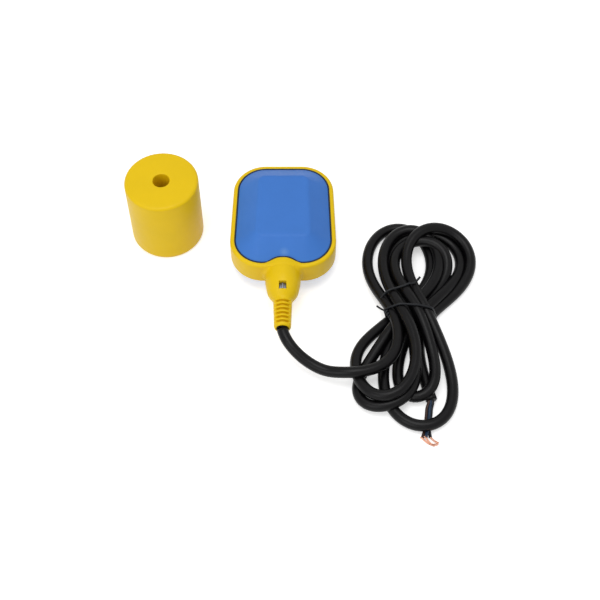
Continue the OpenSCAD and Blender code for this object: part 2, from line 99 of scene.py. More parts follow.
# Silhouette of the neck and shoulder, as (place along Y, radius) in metres.
NECK_SHAPE = [
    (-0.0475, 0.0132), (-0.0540, 0.0132), (-0.0575, 0.01305), (-0.0615, 0.0124), (-0.0660, 0.0114),
    (-0.0685, 0.0101), (-0.0706, 0.0086), (-0.0724, 0.0074), (-0.0745, 0.0070),
]
# Rounding of the boot's tip, as (back from the tip, in from its radius) in metres.
TIP_ROUNDING = [(0.0010, 0.0001), (0.0006, 0.0003), (0.0003, 0.0006), (0.0001, 0.0010), (0.0, 0.0014)]
TIP_STRAIGHT_TO = 0.0015
MOUTH_BELL = 0.0004
MOUTH_DEPTH = 0.0006
# Clearance between the moulding and the cord, clamp and washer inside it.
FIT = 0.00005

# Window in the neck's top: from the band's end to it, its size, and its floor over the middle.
WINDOW_START = 0.014
WINDOW_LENGTH = 0.0056
WINDOW_WIDTH = 0.0055
WINDOW_LOW = 0.0055
WINDOW_HIGH = 0.020
# Plate and rib of the clamp that show in the window: half sizes in x and y, top and edge radius.
CLAMP_BLOCKS = [(0.0026, 0.0026, 0.0090, 0.0004), (0.0008, 0.0024, 0.0106, 0.0005)]
CLAMP_BLOCK_LOW = 0.0040

# Details of the dome and its seam.
SHELL_EDGE = 0.0002
DOME_GAP = 0.00002
DOME_LIP_RADIUS = 0.0012
SEAM_NOTCH = 0.0012
SEAM_SINK = 0.0002
SEAM_LIFT = 0.0013
SEAM_STEP = 0.0006

# Route of the lead in metres: from the boot's tip it dips, lies over the hank's
# near loops and turns up into its waist.
LEAD_ROUTE = [
    CORD_EXIT, (0.001, -0.103, 0.0215), (0.005, -0.1085, 0.0200), (0.012, -0.1155, 0.0160),
    (0.021, -0.121, 0.0125), (0.031, -0.126, 0.0110), (0.0415, -0.1295, 0.0130), (0.052, -0.131, 0.0155),
    (0.063, -0.130, 0.0158), (0.074, -0.125, 0.0157), (0.082, -0.117, 0.0156), (0.086, -0.1055, 0.0154),
    (0.086, -0.099, 0.0152),
]
# The lead keeps its given route up to this x while the hank settles.
LEAD_HELD_TO = 0.026
# The last stretch of cord, under the near loops to the jacket's end.
CORD_TAIL = [
    (0.099, -0.095, 0.0042), (0.098, -0.110, 0.0042), (0.101, -0.125, 0.0042),
    (0.104, -0.136, 0.0042), (0.106, -0.1455, 0.0042),
]
HANK_WAIST_Y = -0.0755
# Only the hank's strands lie past this x at the waist.
HANK_SIDE_X = 0.05

# One row for each turn of the hank, in millimetres: where it crosses the waist
# going away and coming back, how far each loop reaches to each side, where a
# loop is widest, where it turns, and its height at those places. A loop may
# also lean to one side, and its flanks may fan out of the waist unevenly.
FAR_LOOPS = [
    dict(out=83.3, back=85, left=62.5, right=116.7, wide=-28, turn=12, heights=(13, 5, 4.2, 4.2, 4.2)),
    dict(out=88, back=90.5, left=74.5, right=121.5, wide=-30, turn=5, heights=(16, 9, 8, 9, 6)),
    dict(out=94.5, back=98, left=78.5, right=140.4, wide=-26, turn=2.5, heights=(13, 4.2, 9, 4.2, 6)),
    dict(out=100.5, back=94, left=81.6, right=129, wide=-29, turn=-6, heights=(16, 10, 12, 8, 4.2)),
    dict(out=105.5, back=103, left=91.7, right=147.2, wide=-24, turn=3, heights=(13, 10, 15, 7, 4.2)),
]
NEAR_LOOPS = [
    dict(left=50.3, right=98, wide=-112, turn=-153.6, heights=(7, 12, 15), lean=-1.5, fan=(1.62, 1.7)),
    dict(left=49.5, right=98, wide=-134, turn=-156, heights=(4.2, 6, 8), lean=-8, fan=(1.0, 1.15)),
    dict(left=81, right=112, wide=-134, turn=-150, heights=(4.2, 4.2, 8)),
    dict(left=72, right=124, wide=-138, turn=-171, heights=(4.2, 7.5, 5), lean=3, fan=(3.4, 1.7)),
]
PLAIN_FAN = (1.7, 1.7)

# The cores' way under the last loop, in metres: x, y, height over the lowest, and share of the
# spread. Then each core: place in the jacket, spread, lift, end, tip of its strands and their sag.
CORE_WAY = [(0.1049, -0.151, 0.0008, 1.0), (0.1041, -0.157, 0, 1.0), (0.1030, -0.164, 0, 1.0),
            (0.1022, -0.169, 0, 1.1)]
CORE_LOWEST = 0.0013
CORES = [
    dict(name="core_blue_end", slot="blue_core", node="core_blue", offset=0.0, spread=0.0004, lift=0.0012,
         end=(0.1010, -0.1745, 0.0030), tip=(0.1070, -0.1797, 0.0010), sag=0.0016),
    dict(name="core_brown_end", slot="brown_core", node="core_brown", offset=-0.0014, spread=-0.0016,
         lift=0.0, end=(0.0987, -0.1744, 0.0014), tip=(0.1092, -0.1788, 0.0009), sag=0.0024),
    dict(name="core_black_end", slot="black_core", node="core_black", offset=0.0014, spread=0.0016, lift=0.0,
         end=(0.1044, -0.1738, 0.0014), tip=(0.1098, -0.1782, 0.0009), sag=0.0004),
]
# A drawn core is this share of its nominal diameter, so that three fit in the jacket.
CORE_SHARE = 0.92

# The tie's second wrap in plan, its two loose ends as steps from that wrap, and its ear, in metres.
TIE_ROUTE = [(0.0765, -0.0625, 0), (0.0817, -0.0605, 0), (0.0901, -0.0576, 0), (0.0950, -0.0550, 0),
             (0.0985, -0.0535, 0)]
TIE_START = [(-0.0035, -0.0030, -0.0100), (-0.0030, -0.0015, -0.0045)]
TIE_FREE_END = [(0.0022, 0.0016, 0.0016), (0.0040, 0.0032, 0.0030)]
TIE_EAR = [(0.0780, -0.0790, 0.0155), (0.0757, -0.0768, 0.0152), (0.0722, -0.0745, 0.0150),
           (0.0696, -0.0720, 0.0146)]
# The knot is two wires twisted about the line from one point to another.
KNOT_FROM = np.array((0.0762, -0.0765, 0.0158))
KNOT_WAY = np.array((0.0040, -0.0075, -0.0010))
KNOT_RADIUS = 0.0010
KNOT_TWIST = 12
KNOT_WIRE_SHARE = 0.85


def length_property(name, description, default):
    """A length in metres that a user can set."""
    return FloatProperty(name=name, description=description, default=default, unit="LENGTH")


def colour_property(name, description, default):
    """A colour that a user can set, in linear values."""
    return FloatVectorProperty(name=name, description=description, default=default, size=3,
                               min=0.0, max=1.0, subtype="COLOR")


class FloatSizes(bpy.types.PropertyGroup):
    """Sizes of the float's band, domes and neck."""

    band_height: length_property("Band height", "Height of the yellow band", 0.020)
    half_width: length_property("Half width", "Half the band's width at the neck end", BAND_HIGH.x)
    corner_radius: length_property("Corner radius", "Corner radius of the band in plan", 0.025)
    side_taper: length_property("Side taper", "How much each side draws in towards the closed end", 0.00135)
    rim_width: length_property("Rim width", "Yellow rim seen around a dome", 0.0043)
    edge_radius: length_property("Band edge radius", "Radius on the band's outer edges", 0.002)
    slope_run: length_property("Slope width", "Width of a dome's sloping border", 0.0158)
    slope_blend: length_property("Slope blend", "Radius where the slope meets the flat top", 0.005)
    shell_wall: length_property("Shell wall", "Wall of the half shells", 0.0025)
    bead_width: length_property("Bead width", "Width of the dark bead", 0.0011)
    neck_radius: length_property("Neck radius", "Radius of the neck", 0.0132)
    neck_reach: length_property("Neck reach", "How far the swell reaches in past the band's end", 0.0067)
    tip_radius: length_property("Tip radius", "Radius of the boot at its tip", 0.0062)
    tip_setback: length_property("Tip setback", "From the cord's exit back to the rounded tip", 0.001)
    groove_pitch: length_property("Groove pitch", "Distance from groove to groove", 0.00345)
    groove_width: length_property("Groove width", "Width of one groove", 0.0020)
    groove_chord: length_property("Groove length", "Length of a groove across the boot", 0.0112)
    groove_depth: length_property("Groove depth", "Depth of a groove at the middle", 0.0018)
    groove_start: length_property("First groove", "From the shoulder's end to the first groove", 0.0016)
    collar_half: length_property("Collar half width", "Half the width of the swell over the neck", 0.0143)


class CordSizes(bpy.types.PropertyGroup):
    """Sizes of the cord, its tie and its cores."""

    diameter: length_property("Cord diameter", "Diameter over the jacket", 0.0084)
    length: length_property("Cord length", "Jacket length from the boot to the stripped end", 1.905)
    tie_diameter: length_property("Tie diameter", "Thickness of the twist tie", 0.0017)
    core_diameter: length_property("Core diameter", "Nominal diameter of a core's insulation", 0.0026)
    strand_diameter: length_property("Strand diameter", "Diameter of one copper strand", 0.00042)


class WeightSizes(bpy.types.PropertyGroup):
    """Sizes of the counterweight."""

    radius: length_property("Radius", "Outer radius of the counterweight", (WEIGHT_HIGH.x - WEIGHT_LOW.x) / 2)
    hole_radius: length_property("Hole radius", "Radius of the hole for the cord", 0.00625)
    wall: length_property("Wall", "Wall of the moulded shell", 0.0025)
    top_radius: length_property("Top edge radius", "Radius on the top edge", 0.0024)
    foot_radius: length_property("Foot radius", "Radius on the bottom edge", 0.002)
    mouth_radius: length_property("Mouth radius", "Radius on the hole's top edge", 0.0007)


class FinishColours(bpy.types.PropertyGroup):
    """Colours of the finishes, in linear values."""

    blue: colour_property("Dome blue", "Moulded half shells", (0.054, 0.190, 0.585))
    yellow: colour_property("Band yellow", "Band, boot and counterweight", (0.80, 0.535, 0.003))
    rubber: colour_property("Cord rubber", "Jacket of the cord", (0.0022, 0.0020, 0.0024))
    # The seam bead is dark rubber, and its colour also serves as painted shadow in the gap between rim and
    # dome.
    bead_and_painted_shadow: colour_property("Seam bead", "Bead between rim and dome", (0.016, 0.022, 0.032))
    ivory: colour_property("Ivory", "Carrier and ball race", (0.74, 0.70, 0.60))
    # Steel is set far darker than bright steel, as painted shade: it stands for the dark reflections in the
    # neck's shaded window.
    steel_and_painted_shade: colour_property("Steel", "Clamp, washer, ball and screws", (0.27, 0.28, 0.31))
    brass: colour_property("Brass", "Terminals", (0.62, 0.42, 0.12))
    copper: colour_property("Copper", "Bare strands", (0.84, 0.45, 0.31))
    core_brown: colour_property("Brown core", "Insulation of one core", (0.040, 0.018, 0.012))
    core_blue: colour_property("Blue core", "Insulation of one core", (0.010, 0.026, 0.055))
    core_black: colour_property("Black core", "Insulation of one core", (0.005, 0.006, 0.008))
    iron: colour_property("Iron", "Ballast of the counterweight", (0.10, 0.095, 0.09))


def outward(verts, faces):
    """The faces, all turned round if the surface's signed volume is negative.

    The volume is a sixth of the sum of a.(b x c) over the triangles of each face.
    """
    a = verts[faces[:, 0]]
    volume = 0.0
    for k in range(1, faces.shape[1] - 1):
        volume += np.einsum("ij,ij->i", a, np.cross(verts[faces[:, k]], verts[faces[:, k + 1]])).sum()
    return faces[:, ::-1] if volume < 0 else faces


def make_object(name, verts, faces):
    """A smooth-shaded mesh object that rides on the float, with its faces outwards."""
    mesh = bpy.data.meshes.new(name)
    mesh.from_pydata(verts.tolist(), [], outward(verts, faces).tolist())
    mesh.validate()
    mesh.polygons.foreach_set("use_smooth", np.ones(len(mesh.polygons), bool))
    obj = bpy.data.objects.new(name, mesh)
    bpy.context.scene.collection.objects.link(obj)
    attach(obj, BODY)
    return obj


def make_piece(name, surface, slot, node, merge=1e-6, sharp=None):
    """A finished piece from a surface: its object with poles closed, crisp edges and its finish."""
    piece = make_object(name, *surface)
    merge_points(piece, merge)
    if sharp:
        sharpen(piece, sharp)
    finish_piece(piece, slot, node)
    return piece


def join_parts(parts):
    """Points and faces of several closed surfaces as one list, each with its faces outwards."""
    verts, faces, start = [], [], 0
    for part_verts, part_faces in parts:
        verts.append(part_verts)
        faces.append(outward(part_verts, part_faces) + start)
        start += len(part_verts)
    return np.concatenate(verts), np.concatenate(faces)


def grid_surface(grid, wrap_rows=False):
    """Points and four-cornered faces of a grid whose columns, and rows if asked, close round."""
    rows, columns = grid.shape[:2]
    last_row = rows if wrap_rows else rows - 1
    i, j = np.meshgrid(np.arange(last_row), np.arange(columns), indexing="ij")
    i1 = (i + 1) % rows
    j1 = (j + 1) % columns
    quads = np.stack([i * columns + j, i1 * columns + j, i1 * columns + j1, i * columns + j1], -1)
    return grid.reshape(-1, 3), quads.reshape(-1, 4)


def merge_points(obj, distance=1e-6):
    """Closes poles and seams by joining points that lie together, and drops empty faces."""
    bm = bmesh.new()
    bm.from_mesh(obj.data)
    bmesh.ops.remove_doubles(bm, verts=bm.verts, dist=distance)
    bmesh.ops.dissolve_degenerate(bm, edges=bm.edges, dist=1e-7)
    bm.to_mesh(obj.data)
    bm.free()


def mark_hollow(obj, values):
    """Notes on each point how deep it lies in a groove, from 0 to 1."""
    layer = obj.data.attributes.new("hollow", "FLOAT", "POINT")
    layer.data.foreach_set("value", values.astype(np.float32))


def add_mesh(obj, other):
    """Joins another object's mesh into this one and takes the other away."""
    bm = bmesh.new()
    bm.from_mesh(obj.data)
    bm.from_mesh(other.data)
    bm.to_mesh(obj.data)
    bm.free()
    bpy.data.objects.remove(other)


def sharpen(obj, degrees):
    """Keeps edges that turn by more than this angle crisp under smooth shading."""
    obj.data.set_sharp_from_angle(angle=math.radians(degrees))


def ease(start, end, value):
    """Smooth step 3t^2 - 2t^3 from 0 at start to 1 at end, which may lie either way round."""
    t = np.clip((value - start) / (end - start), 0, 1)
    return t * t * (3 - 2 * t)


def quarter(t):
    """Fall of a quarter circle, 1 - sqrt(1 - (1 - t)^2): 1 at t = 0 and before, 0 from t = 1 on."""
    t = np.clip(t, 0, 1)
    return 1 - np.sqrt(1 - (1 - t) ** 2)


def rounded(points, radii, steps=6):
    """Outline through the points with each corner rounded by an arc.

    At a corner with half angle h the arc starts r / tan(h) before it and ends
    as far after it. It is the rational quadratic curve with the corner as its
    handle and the weight sin(h), which is a true arc.
    """
    points = np.asarray(points, float)
    out = []
    count = len(points)
    for k in range(count):
        r = radii[k]
        if r <= 0:
            out.append(points[k][None])
            continue
        before = points[k - 1] - points[k]
        after = points[(k + 1) % count] - points[k]
        before /= np.linalg.norm(before)
        after /= np.linalg.norm(after)
        half = 0.5 * math.acos(float(np.clip(before @ after, -1, 1)))
        reach = r / math.tan(half)
        t = np.linspace(0, 1, steps + 1)[:, None]
        start = points[k] + before * reach
        end = points[k] + after * reach
        handle = 2 * math.sin(half) * t * (1 - t)
        bottom = (1 - t) ** 2 + handle + t ** 2
        out.append(((1 - t) ** 2 * start + handle * points[k] + t ** 2 * end) / bottom)
    return np.concatenate(out)


def revolve_grid(profile, columns):
    """Points of a profile of (radius, height) turned about +Z: rows are profile points."""
    a = np.linspace(0, 2 * np.pi, columns, endpoint=False)
    r = profile[:, 0][:, None]
    z = np.broadcast_to(profile[:, 1][:, None], (len(profile), columns))
    return np.stack([r * np.cos(a), r * np.sin(a), z], -1)


def plan_outline(sizes, inset, arc_steps=20, side_steps=8):
    """Rounded plan outline of the float for each inset, one row of points each.

    The four corner centres stay where they are, and the radius of each corner
    is the corner radius less the inset. Past the centres the whole outline
    shrinks towards the middle.
    """
    inset = np.atleast_1d(np.asarray(inset, float))
    x0 = sizes.half_width - sizes.corner_radius
    x1 = x0 - sizes.side_taper
    y0 = END_Y - sizes.corner_radius
    centres = [(x0, -y0, -90), (x1, y0, 0), (-x1, y0, 90), (-x0, -y0, 180)]
    r = np.maximum(sizes.corner_radius - inset, 0)
    shrink = 1 - np.maximum(inset - sizes.corner_radius, 0) / y0
    arcs = []
    for cx, cy, start in centres:
        a = np.radians(start + np.linspace(0, 90, arc_steps + 1))
        x = cx * shrink[:, None] + r[:, None] * np.cos(a)
        y = cy * shrink[:, None] + r[:, None] * np.sin(a)
        arcs.append(np.stack([x, y], -1))
    rows = []
    t = np.linspace(0, 1, side_steps + 1)[1:-1][None, :, None]
    for k in range(4):
        rows.append(arcs[k])
        end = arcs[k][:, -1:, :]
        start = arcs[(k + 1) % 4][:, :1, :]
        rows.append(end + (start - end) * t)
    return np.concatenate(rows, 1)


def loft(sizes, section):
    """Grid through the plan outlines at each (inset, height) of a section: rows are heights."""
    plan = plan_outline(sizes, section[:, 0])
    z = np.broadcast_to(section[:, 1][:, None, None], plan.shape[:2] + (1,))
    return np.concatenate([plan, z], -1)


def level_spokes(tangent):
    """Side = tangent x up and top = side x tangent, for a path that nowhere stands upright."""
    side = np.cross(tangent, [0.0, 0.0, 1.0])
    side /= np.linalg.norm(side, axis=1)[:, None]
    return side, np.cross(side, tangent)


def free_spokes(tangent):
    """The part of +Y square to the tangent, or of +Z for a path along Y, and its normal."""
    along_y = np.abs(tangent[:, 1]).mean()
    ref = np.array([0.0, 1.0, 0.0]) if along_y < 0.6 else np.array([0.0, 0.0, 1.0])
    first = ref - tangent * (tangent @ ref)[:, None]
    first /= np.linalg.norm(first, axis=1)[:, None]
    return first, np.cross(tangent, first)


def sweep(path, radius, sides, closed=False, flat=1.0, cap=0.0, spokes=level_spokes):
    """Tube of rings that stand square to a path.

    ring = path + r (cos a first + flat sin a second), with the two spoke
    directions worked out from the tangent. An open tube's ends close at a
    centre point, after a ring drawn in by cap.
    """
    path = np.asarray(path, float)
    if closed:
        tangent = np.roll(path, -1, 0) - np.roll(path, 1, 0)
    else:
        tangent = np.gradient(path, axis=0)
    tangent /= np.linalg.norm(tangent, axis=1)[:, None]
    first, second = spokes(tangent)
    a = np.linspace(0, 2 * np.pi, sides, endpoint=False)[None, :, None]
    spoke = np.cos(a) * first[:, None] + flat * np.sin(a) * second[:, None]
    rings = path[:, None] + radius * spoke
    if closed:
        return grid_surface(rings, wrap_rows=True)
    ends = []
    for end, way in ((0, -1), (-1, 1)):
        centre = path[end] + way * cap * tangent[end]
        drawn_in = [centre + (radius - cap) * spoke[end]] if cap > 0 else []
        ends.append([np.repeat(centre[None], sides, 0)] + drawn_in)
    return grid_surface(np.concatenate([ends[0], rings, ends[1][::-1]]))


def resample(path, step):
    """The same path with points a step apart along it."""
    lengths = np.linalg.norm(np.diff(path, axis=0), axis=1)
    along = np.concatenate([[0], np.cumsum(lengths)])
    count = int(round(along[-1] / step)) + 1
    at = np.linspace(0, along[-1], count)
    return np.stack([np.interp(at, along, path[:, k]) for k in range(3)], 1)


def relax_path(path, times):
    """Smooths a path: each inner point moves halfway to the middle of its neighbours."""
    for _ in range(times):
        path = path.copy()
        path[1:-1] = 0.5 * path[1:-1] + 0.25 * (path[:-2] + path[2:])
    return path


def spline(points, per_span=8):
    """Smooth path through given points, by Catmull-Rom spans."""
    p = np.asarray(points, float)
    p = np.concatenate([2 * p[:1] - p[1:2], p, 2 * p[-1:] - p[-2:-1]])
    t = np.linspace(0, 1, per_span, endpoint=False)[None, :, None]
    a, b, c, d = p[:-3, None], p[1:-2, None], p[2:-1, None], p[3:, None]
    bend = 2 * a - 5 * b + 4 * c - d
    twist = 3 * b - a - 3 * c + d
    path = 0.5 * (2 * b + (c - a) * t + bend * t ** 2 + twist * t ** 3)
    return np.concatenate([path.reshape(-1, 3), p[-2:-1]])


def hank_loop(enter, leave, heights, loop):
    """One loop of the hank, from the waist out and back to it, in millimetres.

    Each flank leaves the waist at x = side + (waist - side) (1 - s)^fan for s
    from 0 to 1 up to the widest place, with one fan for each way. The turn is
    half an ellipse about the middle, whose far point leans sideways by lean sin^2.
    """
    waist = HANK_WAIST_Y / MM
    left, right, wide = loop["left"], loop["right"], loop["wide"]
    z_enter, z_left, z_turn, z_right, z_leave = heights
    s = np.linspace(0, 1, 6)[:-1]
    fade = [(1 - s) ** power for power in loop.get("fan", PLAIN_FAN)]
    y = waist + (wide - waist) * s
    out = np.stack([left + (enter - left) * fade[0], y, z_enter + (z_left - z_enter) * s], 1)
    home = np.stack([right + (leave - right) * fade[1], y, z_leave + (z_right - z_leave) * s], 1)
    a = np.linspace(np.pi, 0, 11)
    x = (left + right) / 2 + (right - left) / 2 * np.cos(a) + loop.get("lean", 0) * np.sin(a) ** 2
    z = np.interp(np.linspace(0, 1, 11), [0, 0.5, 1], [z_left, z_turn, z_right])
    bend = np.stack([x, wide + (loop["turn"] - wide) * np.sin(a), z], 1)
    return np.concatenate([out, bend, home[:0:-1]])


def hank_path():
    """The whole cord's path before it settles: lead, nine loops and tail, in metres."""
    parts = [spline(LEAD_ROUTE, 3)]
    for k, far in enumerate(FAR_LOOPS):
        parts.append(MM * hank_loop(far["out"], far["back"], far["heights"], far))
        if k < len(NEAR_LOOPS):
            near = NEAR_LOOPS[k]
            after = FAR_LOOPS[k + 1]
            heights = (far["heights"][-1], *near["heights"], after["heights"][0])
            parts.append(MM * hank_loop(far["back"], after["out"], heights, near))
    last = FAR_LOOPS[-1]
    parts.append([(last["back"] * MM, HANK_WAIST_Y, last["heights"][-1] * MM)])
    parts.append(CORD_TAIL)
    return np.concatenate(parts)


def settled_cord(diameter, step=0.004, rounds=90, reach=0.92, stack=0.020):
    """Path of the cord once its turns rest beside and on each other.

    In each round every point moves by the largest overlaps with other turns,
    mostly up or down, spread along the cord by a bell of about 10 mm as a stiff
    cord would, then a little back towards its first place and down by its
    weight. It stays between the floor and the height of a stack. The lead
    before the hank is held.
    """
    sideways = 0.25
    pushed = 0.9
    pulled_back = (0.08, 0.08, 0.05)
    weight = (0, 0, 0.00005)
    own_turn = 2.2
    freed_over = 8.0
    bell_half = 6
    bell_width = 2.6
    path = resample(hank_path(), step)
    lead_end = int(np.argmax(path[:, 0] > LEAD_HELD_TO))
    path[lead_end:] = relax_path(path[lead_end:], 10)
    path[:lead_end + 6] = relax_path(path[:lead_end + 6], 3)
    path = resample(path, step)
    home = path.copy()
    index = np.arange(len(path))
    other = np.abs(index[:, None] - index[None, :]) > int(own_turn * diameter / step)
    free = np.clip((index - lead_end) / freed_over, 0, 1)[:, None]
    ceiling = np.where(index < lead_end, path[:, 2].max(), stack)
    bell = np.exp(-0.5 * (np.arange(-bell_half, bell_half + 1) / bell_width) ** 2)
    bell /= bell.sum()
    limit = reach * diameter
    for _ in range(rounds):
        apart = path[:, None, :] - path[None, :, :]
        distance = np.linalg.norm(apart, axis=2) + 1e-9
        overlap = np.where(other & (distance < limit), (limit - distance) / distance, 0.0)
        push = apart * overlap[:, :, None]
        push = push.max(1) + push.min(1)
        push[:, :2] *= sideways
        push = np.stack([np.convolve(push[:, k], bell, "same") for k in range(3)], 1)
        back = pulled_back * (home - path) - weight
        path = path + (pushed * push + back) * free
        path[:, 2] = np.clip(path[:, 2], diameter / 2, ceiling)
    smooth = relax_path(path, 12)
    smooth[:, 2] = relax_path(smooth, 12)[:, 2]
    path = path + (smooth - path) * free
    path[:, 2] = np.maximum(path[:, 2], diameter / 2)
    return path


def drape(path, route, radius, clear, bridge=4):
    """Heights at which a thin wire laid along an (x, y) route rests on the cord.

    The top of each stretch of cord is z + sqrt(r^2 - d^2) at the distance d in
    plan. The wire takes the highest, bridges dips with a running maximum, and
    is then smoothed.
    """
    d2 = ((route[:, None, :] - path[None, :, :2]) ** 2).sum(2)
    top = np.where(d2 < radius ** 2, path[None, :, 2] + np.sqrt(np.maximum(radius ** 2 - d2, 0)), 0)
    z = top.max(1) + clear
    padded = np.pad(z, bridge, mode="edge")
    z = np.max([padded[k:k + len(z)] for k in range(2 * bridge + 1)], 0)
    return relax_path(z, 6)


def waist_wrap(path, y, clear, directions=512, floor=0.0009, step=0.0016):
    """Loop round every strand that crosses a plane of constant y, at a clearance.

    The support of the strands' centres in each direction of the x-z plane,
    plus the clearance, gives the loop: the outline of a taut band.
    """
    before = path[:-1, 1] - y
    after = path[1:, 1] - y
    crossing = before * after <= 0
    share = (before / (before - after + 1e-12))[crossing][:, None]
    hits = path[:-1][crossing] + (path[1:] - path[:-1])[crossing] * share
    hits = hits[hits[:, 0] > HANK_SIDE_X][:, [0, 2]]
    a = np.linspace(0, 2 * np.pi, directions, endpoint=False)
    ways = np.stack([np.cos(a), np.sin(a)], 1)
    ring = hits[np.argmax(hits @ ways.T, 0)] + clear * ways
    ring[:, 1] = np.maximum(ring[:, 1], floor)
    loop = np.stack([ring[:, 0], np.full(len(ring), y), ring[:, 1]], 1)
    return resample(np.concatenate([loop, loop[:1]]), step)[:-1]


def set_socket(tree, socket, value):
    """Links a socket to another or sets it to a constant. A colour gets full alpha."""
    if isinstance(value, bpy.types.NodeSocket):
        tree.links.new(value, socket)
    elif socket.type == "RGBA":
        socket.default_value = (*value, 1.0)
    else:
        socket.default_value = value


def set_inputs(tree, node, **inputs):
    """Sets a node's sockets, each by its name with _ for a space."""
    for key, value in inputs.items():
        set_socket(tree, node.inputs[key.replace("_", " ")], value)


def add_node(tree, kind, **inputs):
    """A new node of this kind with its sockets set by name."""
    node = tree.nodes.new(kind)
    set_inputs(tree, node, **inputs)
    return node


def calculate(tree, kind, operation, *values):
    """Result of a Math or VectorMath node of this operation on the values."""
    node = tree.nodes.new(kind)
    node.operation = operation
    for socket, value in zip(node.inputs, values):
        set_socket(tree, socket, value)
    return node.outputs["Value"]


def node_tree(name):
    """A new material with its tree and its shader."""
    material = bpy.data.materials.new(name)
    material.use_nodes = True
    tree = material.node_tree
    return material, tree, tree.nodes["Principled BSDF"]


def object_coordinates(tree, scale=(1, 1, 1)):
    """Object coordinates through a Mapping node that stretches them."""
    source = tree.nodes.new("ShaderNodeTexCoord")
    return add_node(tree, "ShaderNodeMapping", Vector=source.outputs["Object"], Scale=scale).outputs["Vector"]


def noise(tree, vector, scale, detail=3.0, roughness=0.55):
    """Noise of features about 1 / scale metres across."""
    node = add_node(tree, "ShaderNodeTexNoise", Vector=vector, Scale=scale, Detail=detail,
                    Roughness=roughness)
    return node.outputs["Fac"]


def ramp_value(tree, value, low, high, start=0.3, end=0.7):
    """Maps a factor from start..end to low..high."""
    node = add_node(tree, "ShaderNodeMapRange", Value=value, From_Min=start, From_Max=end, To_Min=low,
                    To_Max=high)
    return node.outputs["Result"]


def mix_colour(tree, factor, first, second):
    """Blend of two colours by a factor from 0 to 1. Either may be a socket."""
    node = tree.nodes.new("ShaderNodeMix")
    node.data_type = "RGBA"
    for socket, value in ((node.inputs["Factor"], factor), (node.inputs[6], first), (node.inputs[7], second)):
        set_socket(tree, socket, value)
    return node.outputs[2]


def tint(colour, factor):
    """A lighter or darker shade of a colour."""
    return tuple(min(1.0, c * factor) for c in colour)


def bump(tree, height, distance, strength, **under):
    """Bump node that lifts the surface by a height times a distance in metres, over another bump if given."""
    node = add_node(tree, "ShaderNodeBump", Height=height, Strength=strength, Distance=distance, **under)
    return node.outputs["Normal"]


def overlay(material, factor, colour):
    """Lays a second colour over a finish where a factor is high."""
    base = material.node_tree.nodes["Principled BSDF"].inputs["Base Color"]
    below = base.links[0].from_socket
    set_socket(material.node_tree, base, mix_colour(material.node_tree, factor, below, colour))


def moulded_plastic(name, colour, roughness=0.42, grain=0.00002, mottling=0.05, gloss=0.3):
    """Injection-moulded plastic: slow flow mottling, fine spark-eroded grain, satin gloss."""
    material, tree, shader = node_tree(name)
    vector = object_coordinates(tree)
    flow = noise(tree, vector, 38, 4)
    fine = noise(tree, vector, 2600, 2)
    peel = noise(tree, vector, 420, 2)
    flow = ramp_value(tree, flow, 0, 1)
    shades = mix_colour(tree, flow, tint(colour, 1 - mottling), tint(colour, 1 + mottling))
    speck = mix_colour(tree, ramp_value(tree, fine, 0, 0.35, 0.55, 0.8), shades, tint(colour, 0.86))
    soft = bump(tree, peel, grain * 2.0, 0.6)
    set_inputs(tree, shader, Base_Color=speck, Normal=bump(tree, fine, grain, 0.8, Normal=soft),
               Roughness=ramp_value(tree, peel, roughness - 0.05, roughness + 0.06), Specular_IOR_Level=gloss)
    return material


def blue_dome(colour):
    """Blue moulding with its flow marks and the pale round mark of the mould's gate."""
    material = moulded_plastic("blue_plastic", colour, roughness=0.5, mottling=0.035, gloss=0.16)
    tree = material.node_tree
    source = tree.nodes.new("ShaderNodeTexCoord")
    apart = calculate(tree, "ShaderNodeVectorMath", "DISTANCE", source.outputs["Object"], GATE_PLACE)
    overlay(material, ramp_value(tree, apart, 0.45, 0.0, 0.2 * GATE_RADIUS, GATE_RADIUS), GATE_PALE)
    return material


def yellow_moulding(colour):
    """Yellow moulding, with painted shade that darkens it down in the boot's grooves."""
    material = moulded_plastic("yellow_plastic", colour, 0.40, 0.000022, 0.03, 0.2)
    tree = material.node_tree
    hollow = tree.nodes.new("ShaderNodeAttribute")
    hollow.attribute_name = "hollow"
    # Painted shade: the yellow turns deeper in tone the deeper a point lies in a groove.
    overlay(material, ramp_value(tree, hollow.outputs["Fac"], 0, 1, 0.2, 1.0), GROOVE_SHADE_YELLOW)
    return material


def cord_rubber(colour):
    """Black jacket: extrusion lines along the cord, scuffs and a soft sheen."""
    material, tree, shader = node_tree("cord_rubber")
    source = tree.nodes.new("ShaderNodeUVMap")
    source.uv_map = "along"
    mapping = add_node(tree, "ShaderNodeMapping", Vector=source.outputs["UV"], Scale=(26.0, 14.0, 1.0))
    lines = noise(tree, mapping.outputs["Vector"], 1.0, 3)
    vector = object_coordinates(tree)
    scuff = noise(tree, vector, 160, 4, 0.65)
    pits = noise(tree, vector, 1900, 2)
    worn = ramp_value(tree, scuff, 0, 1, 0.52, 0.72)
    long_lines = bump(tree, lines, 0.00006, 0.4)
    set_inputs(tree, shader, Base_Color=mix_colour(tree, worn, colour, tint(colour, 1.9)),
               Roughness=ramp_value(tree, scuff, 0.27, 0.38), Specular_IOR_Level=0.16,
               Normal=bump(tree, pits, 0.00003, 0.5, Normal=long_lines))
    return material


def soft_rubber(name, colour, roughness):
    """Matt rubber with a fine tooth."""
    material, tree, shader = node_tree(name)
    vector = object_coordinates(tree)
    tooth = noise(tree, vector, 1500, 3)
    cloud = noise(tree, vector, 120, 3)
    shade = mix_colour(tree, ramp_value(tree, cloud, 0, 1), tint(colour, 0.8), tint(colour, 1.35))
    set_inputs(tree, shader, Base_Color=shade, Normal=bump(tree, tooth, 0.00004, 0.6),
               Roughness=ramp_value(tree, tooth, roughness - 0.08, roughness + 0.1), Specular_IOR_Level=0.25)
    return material


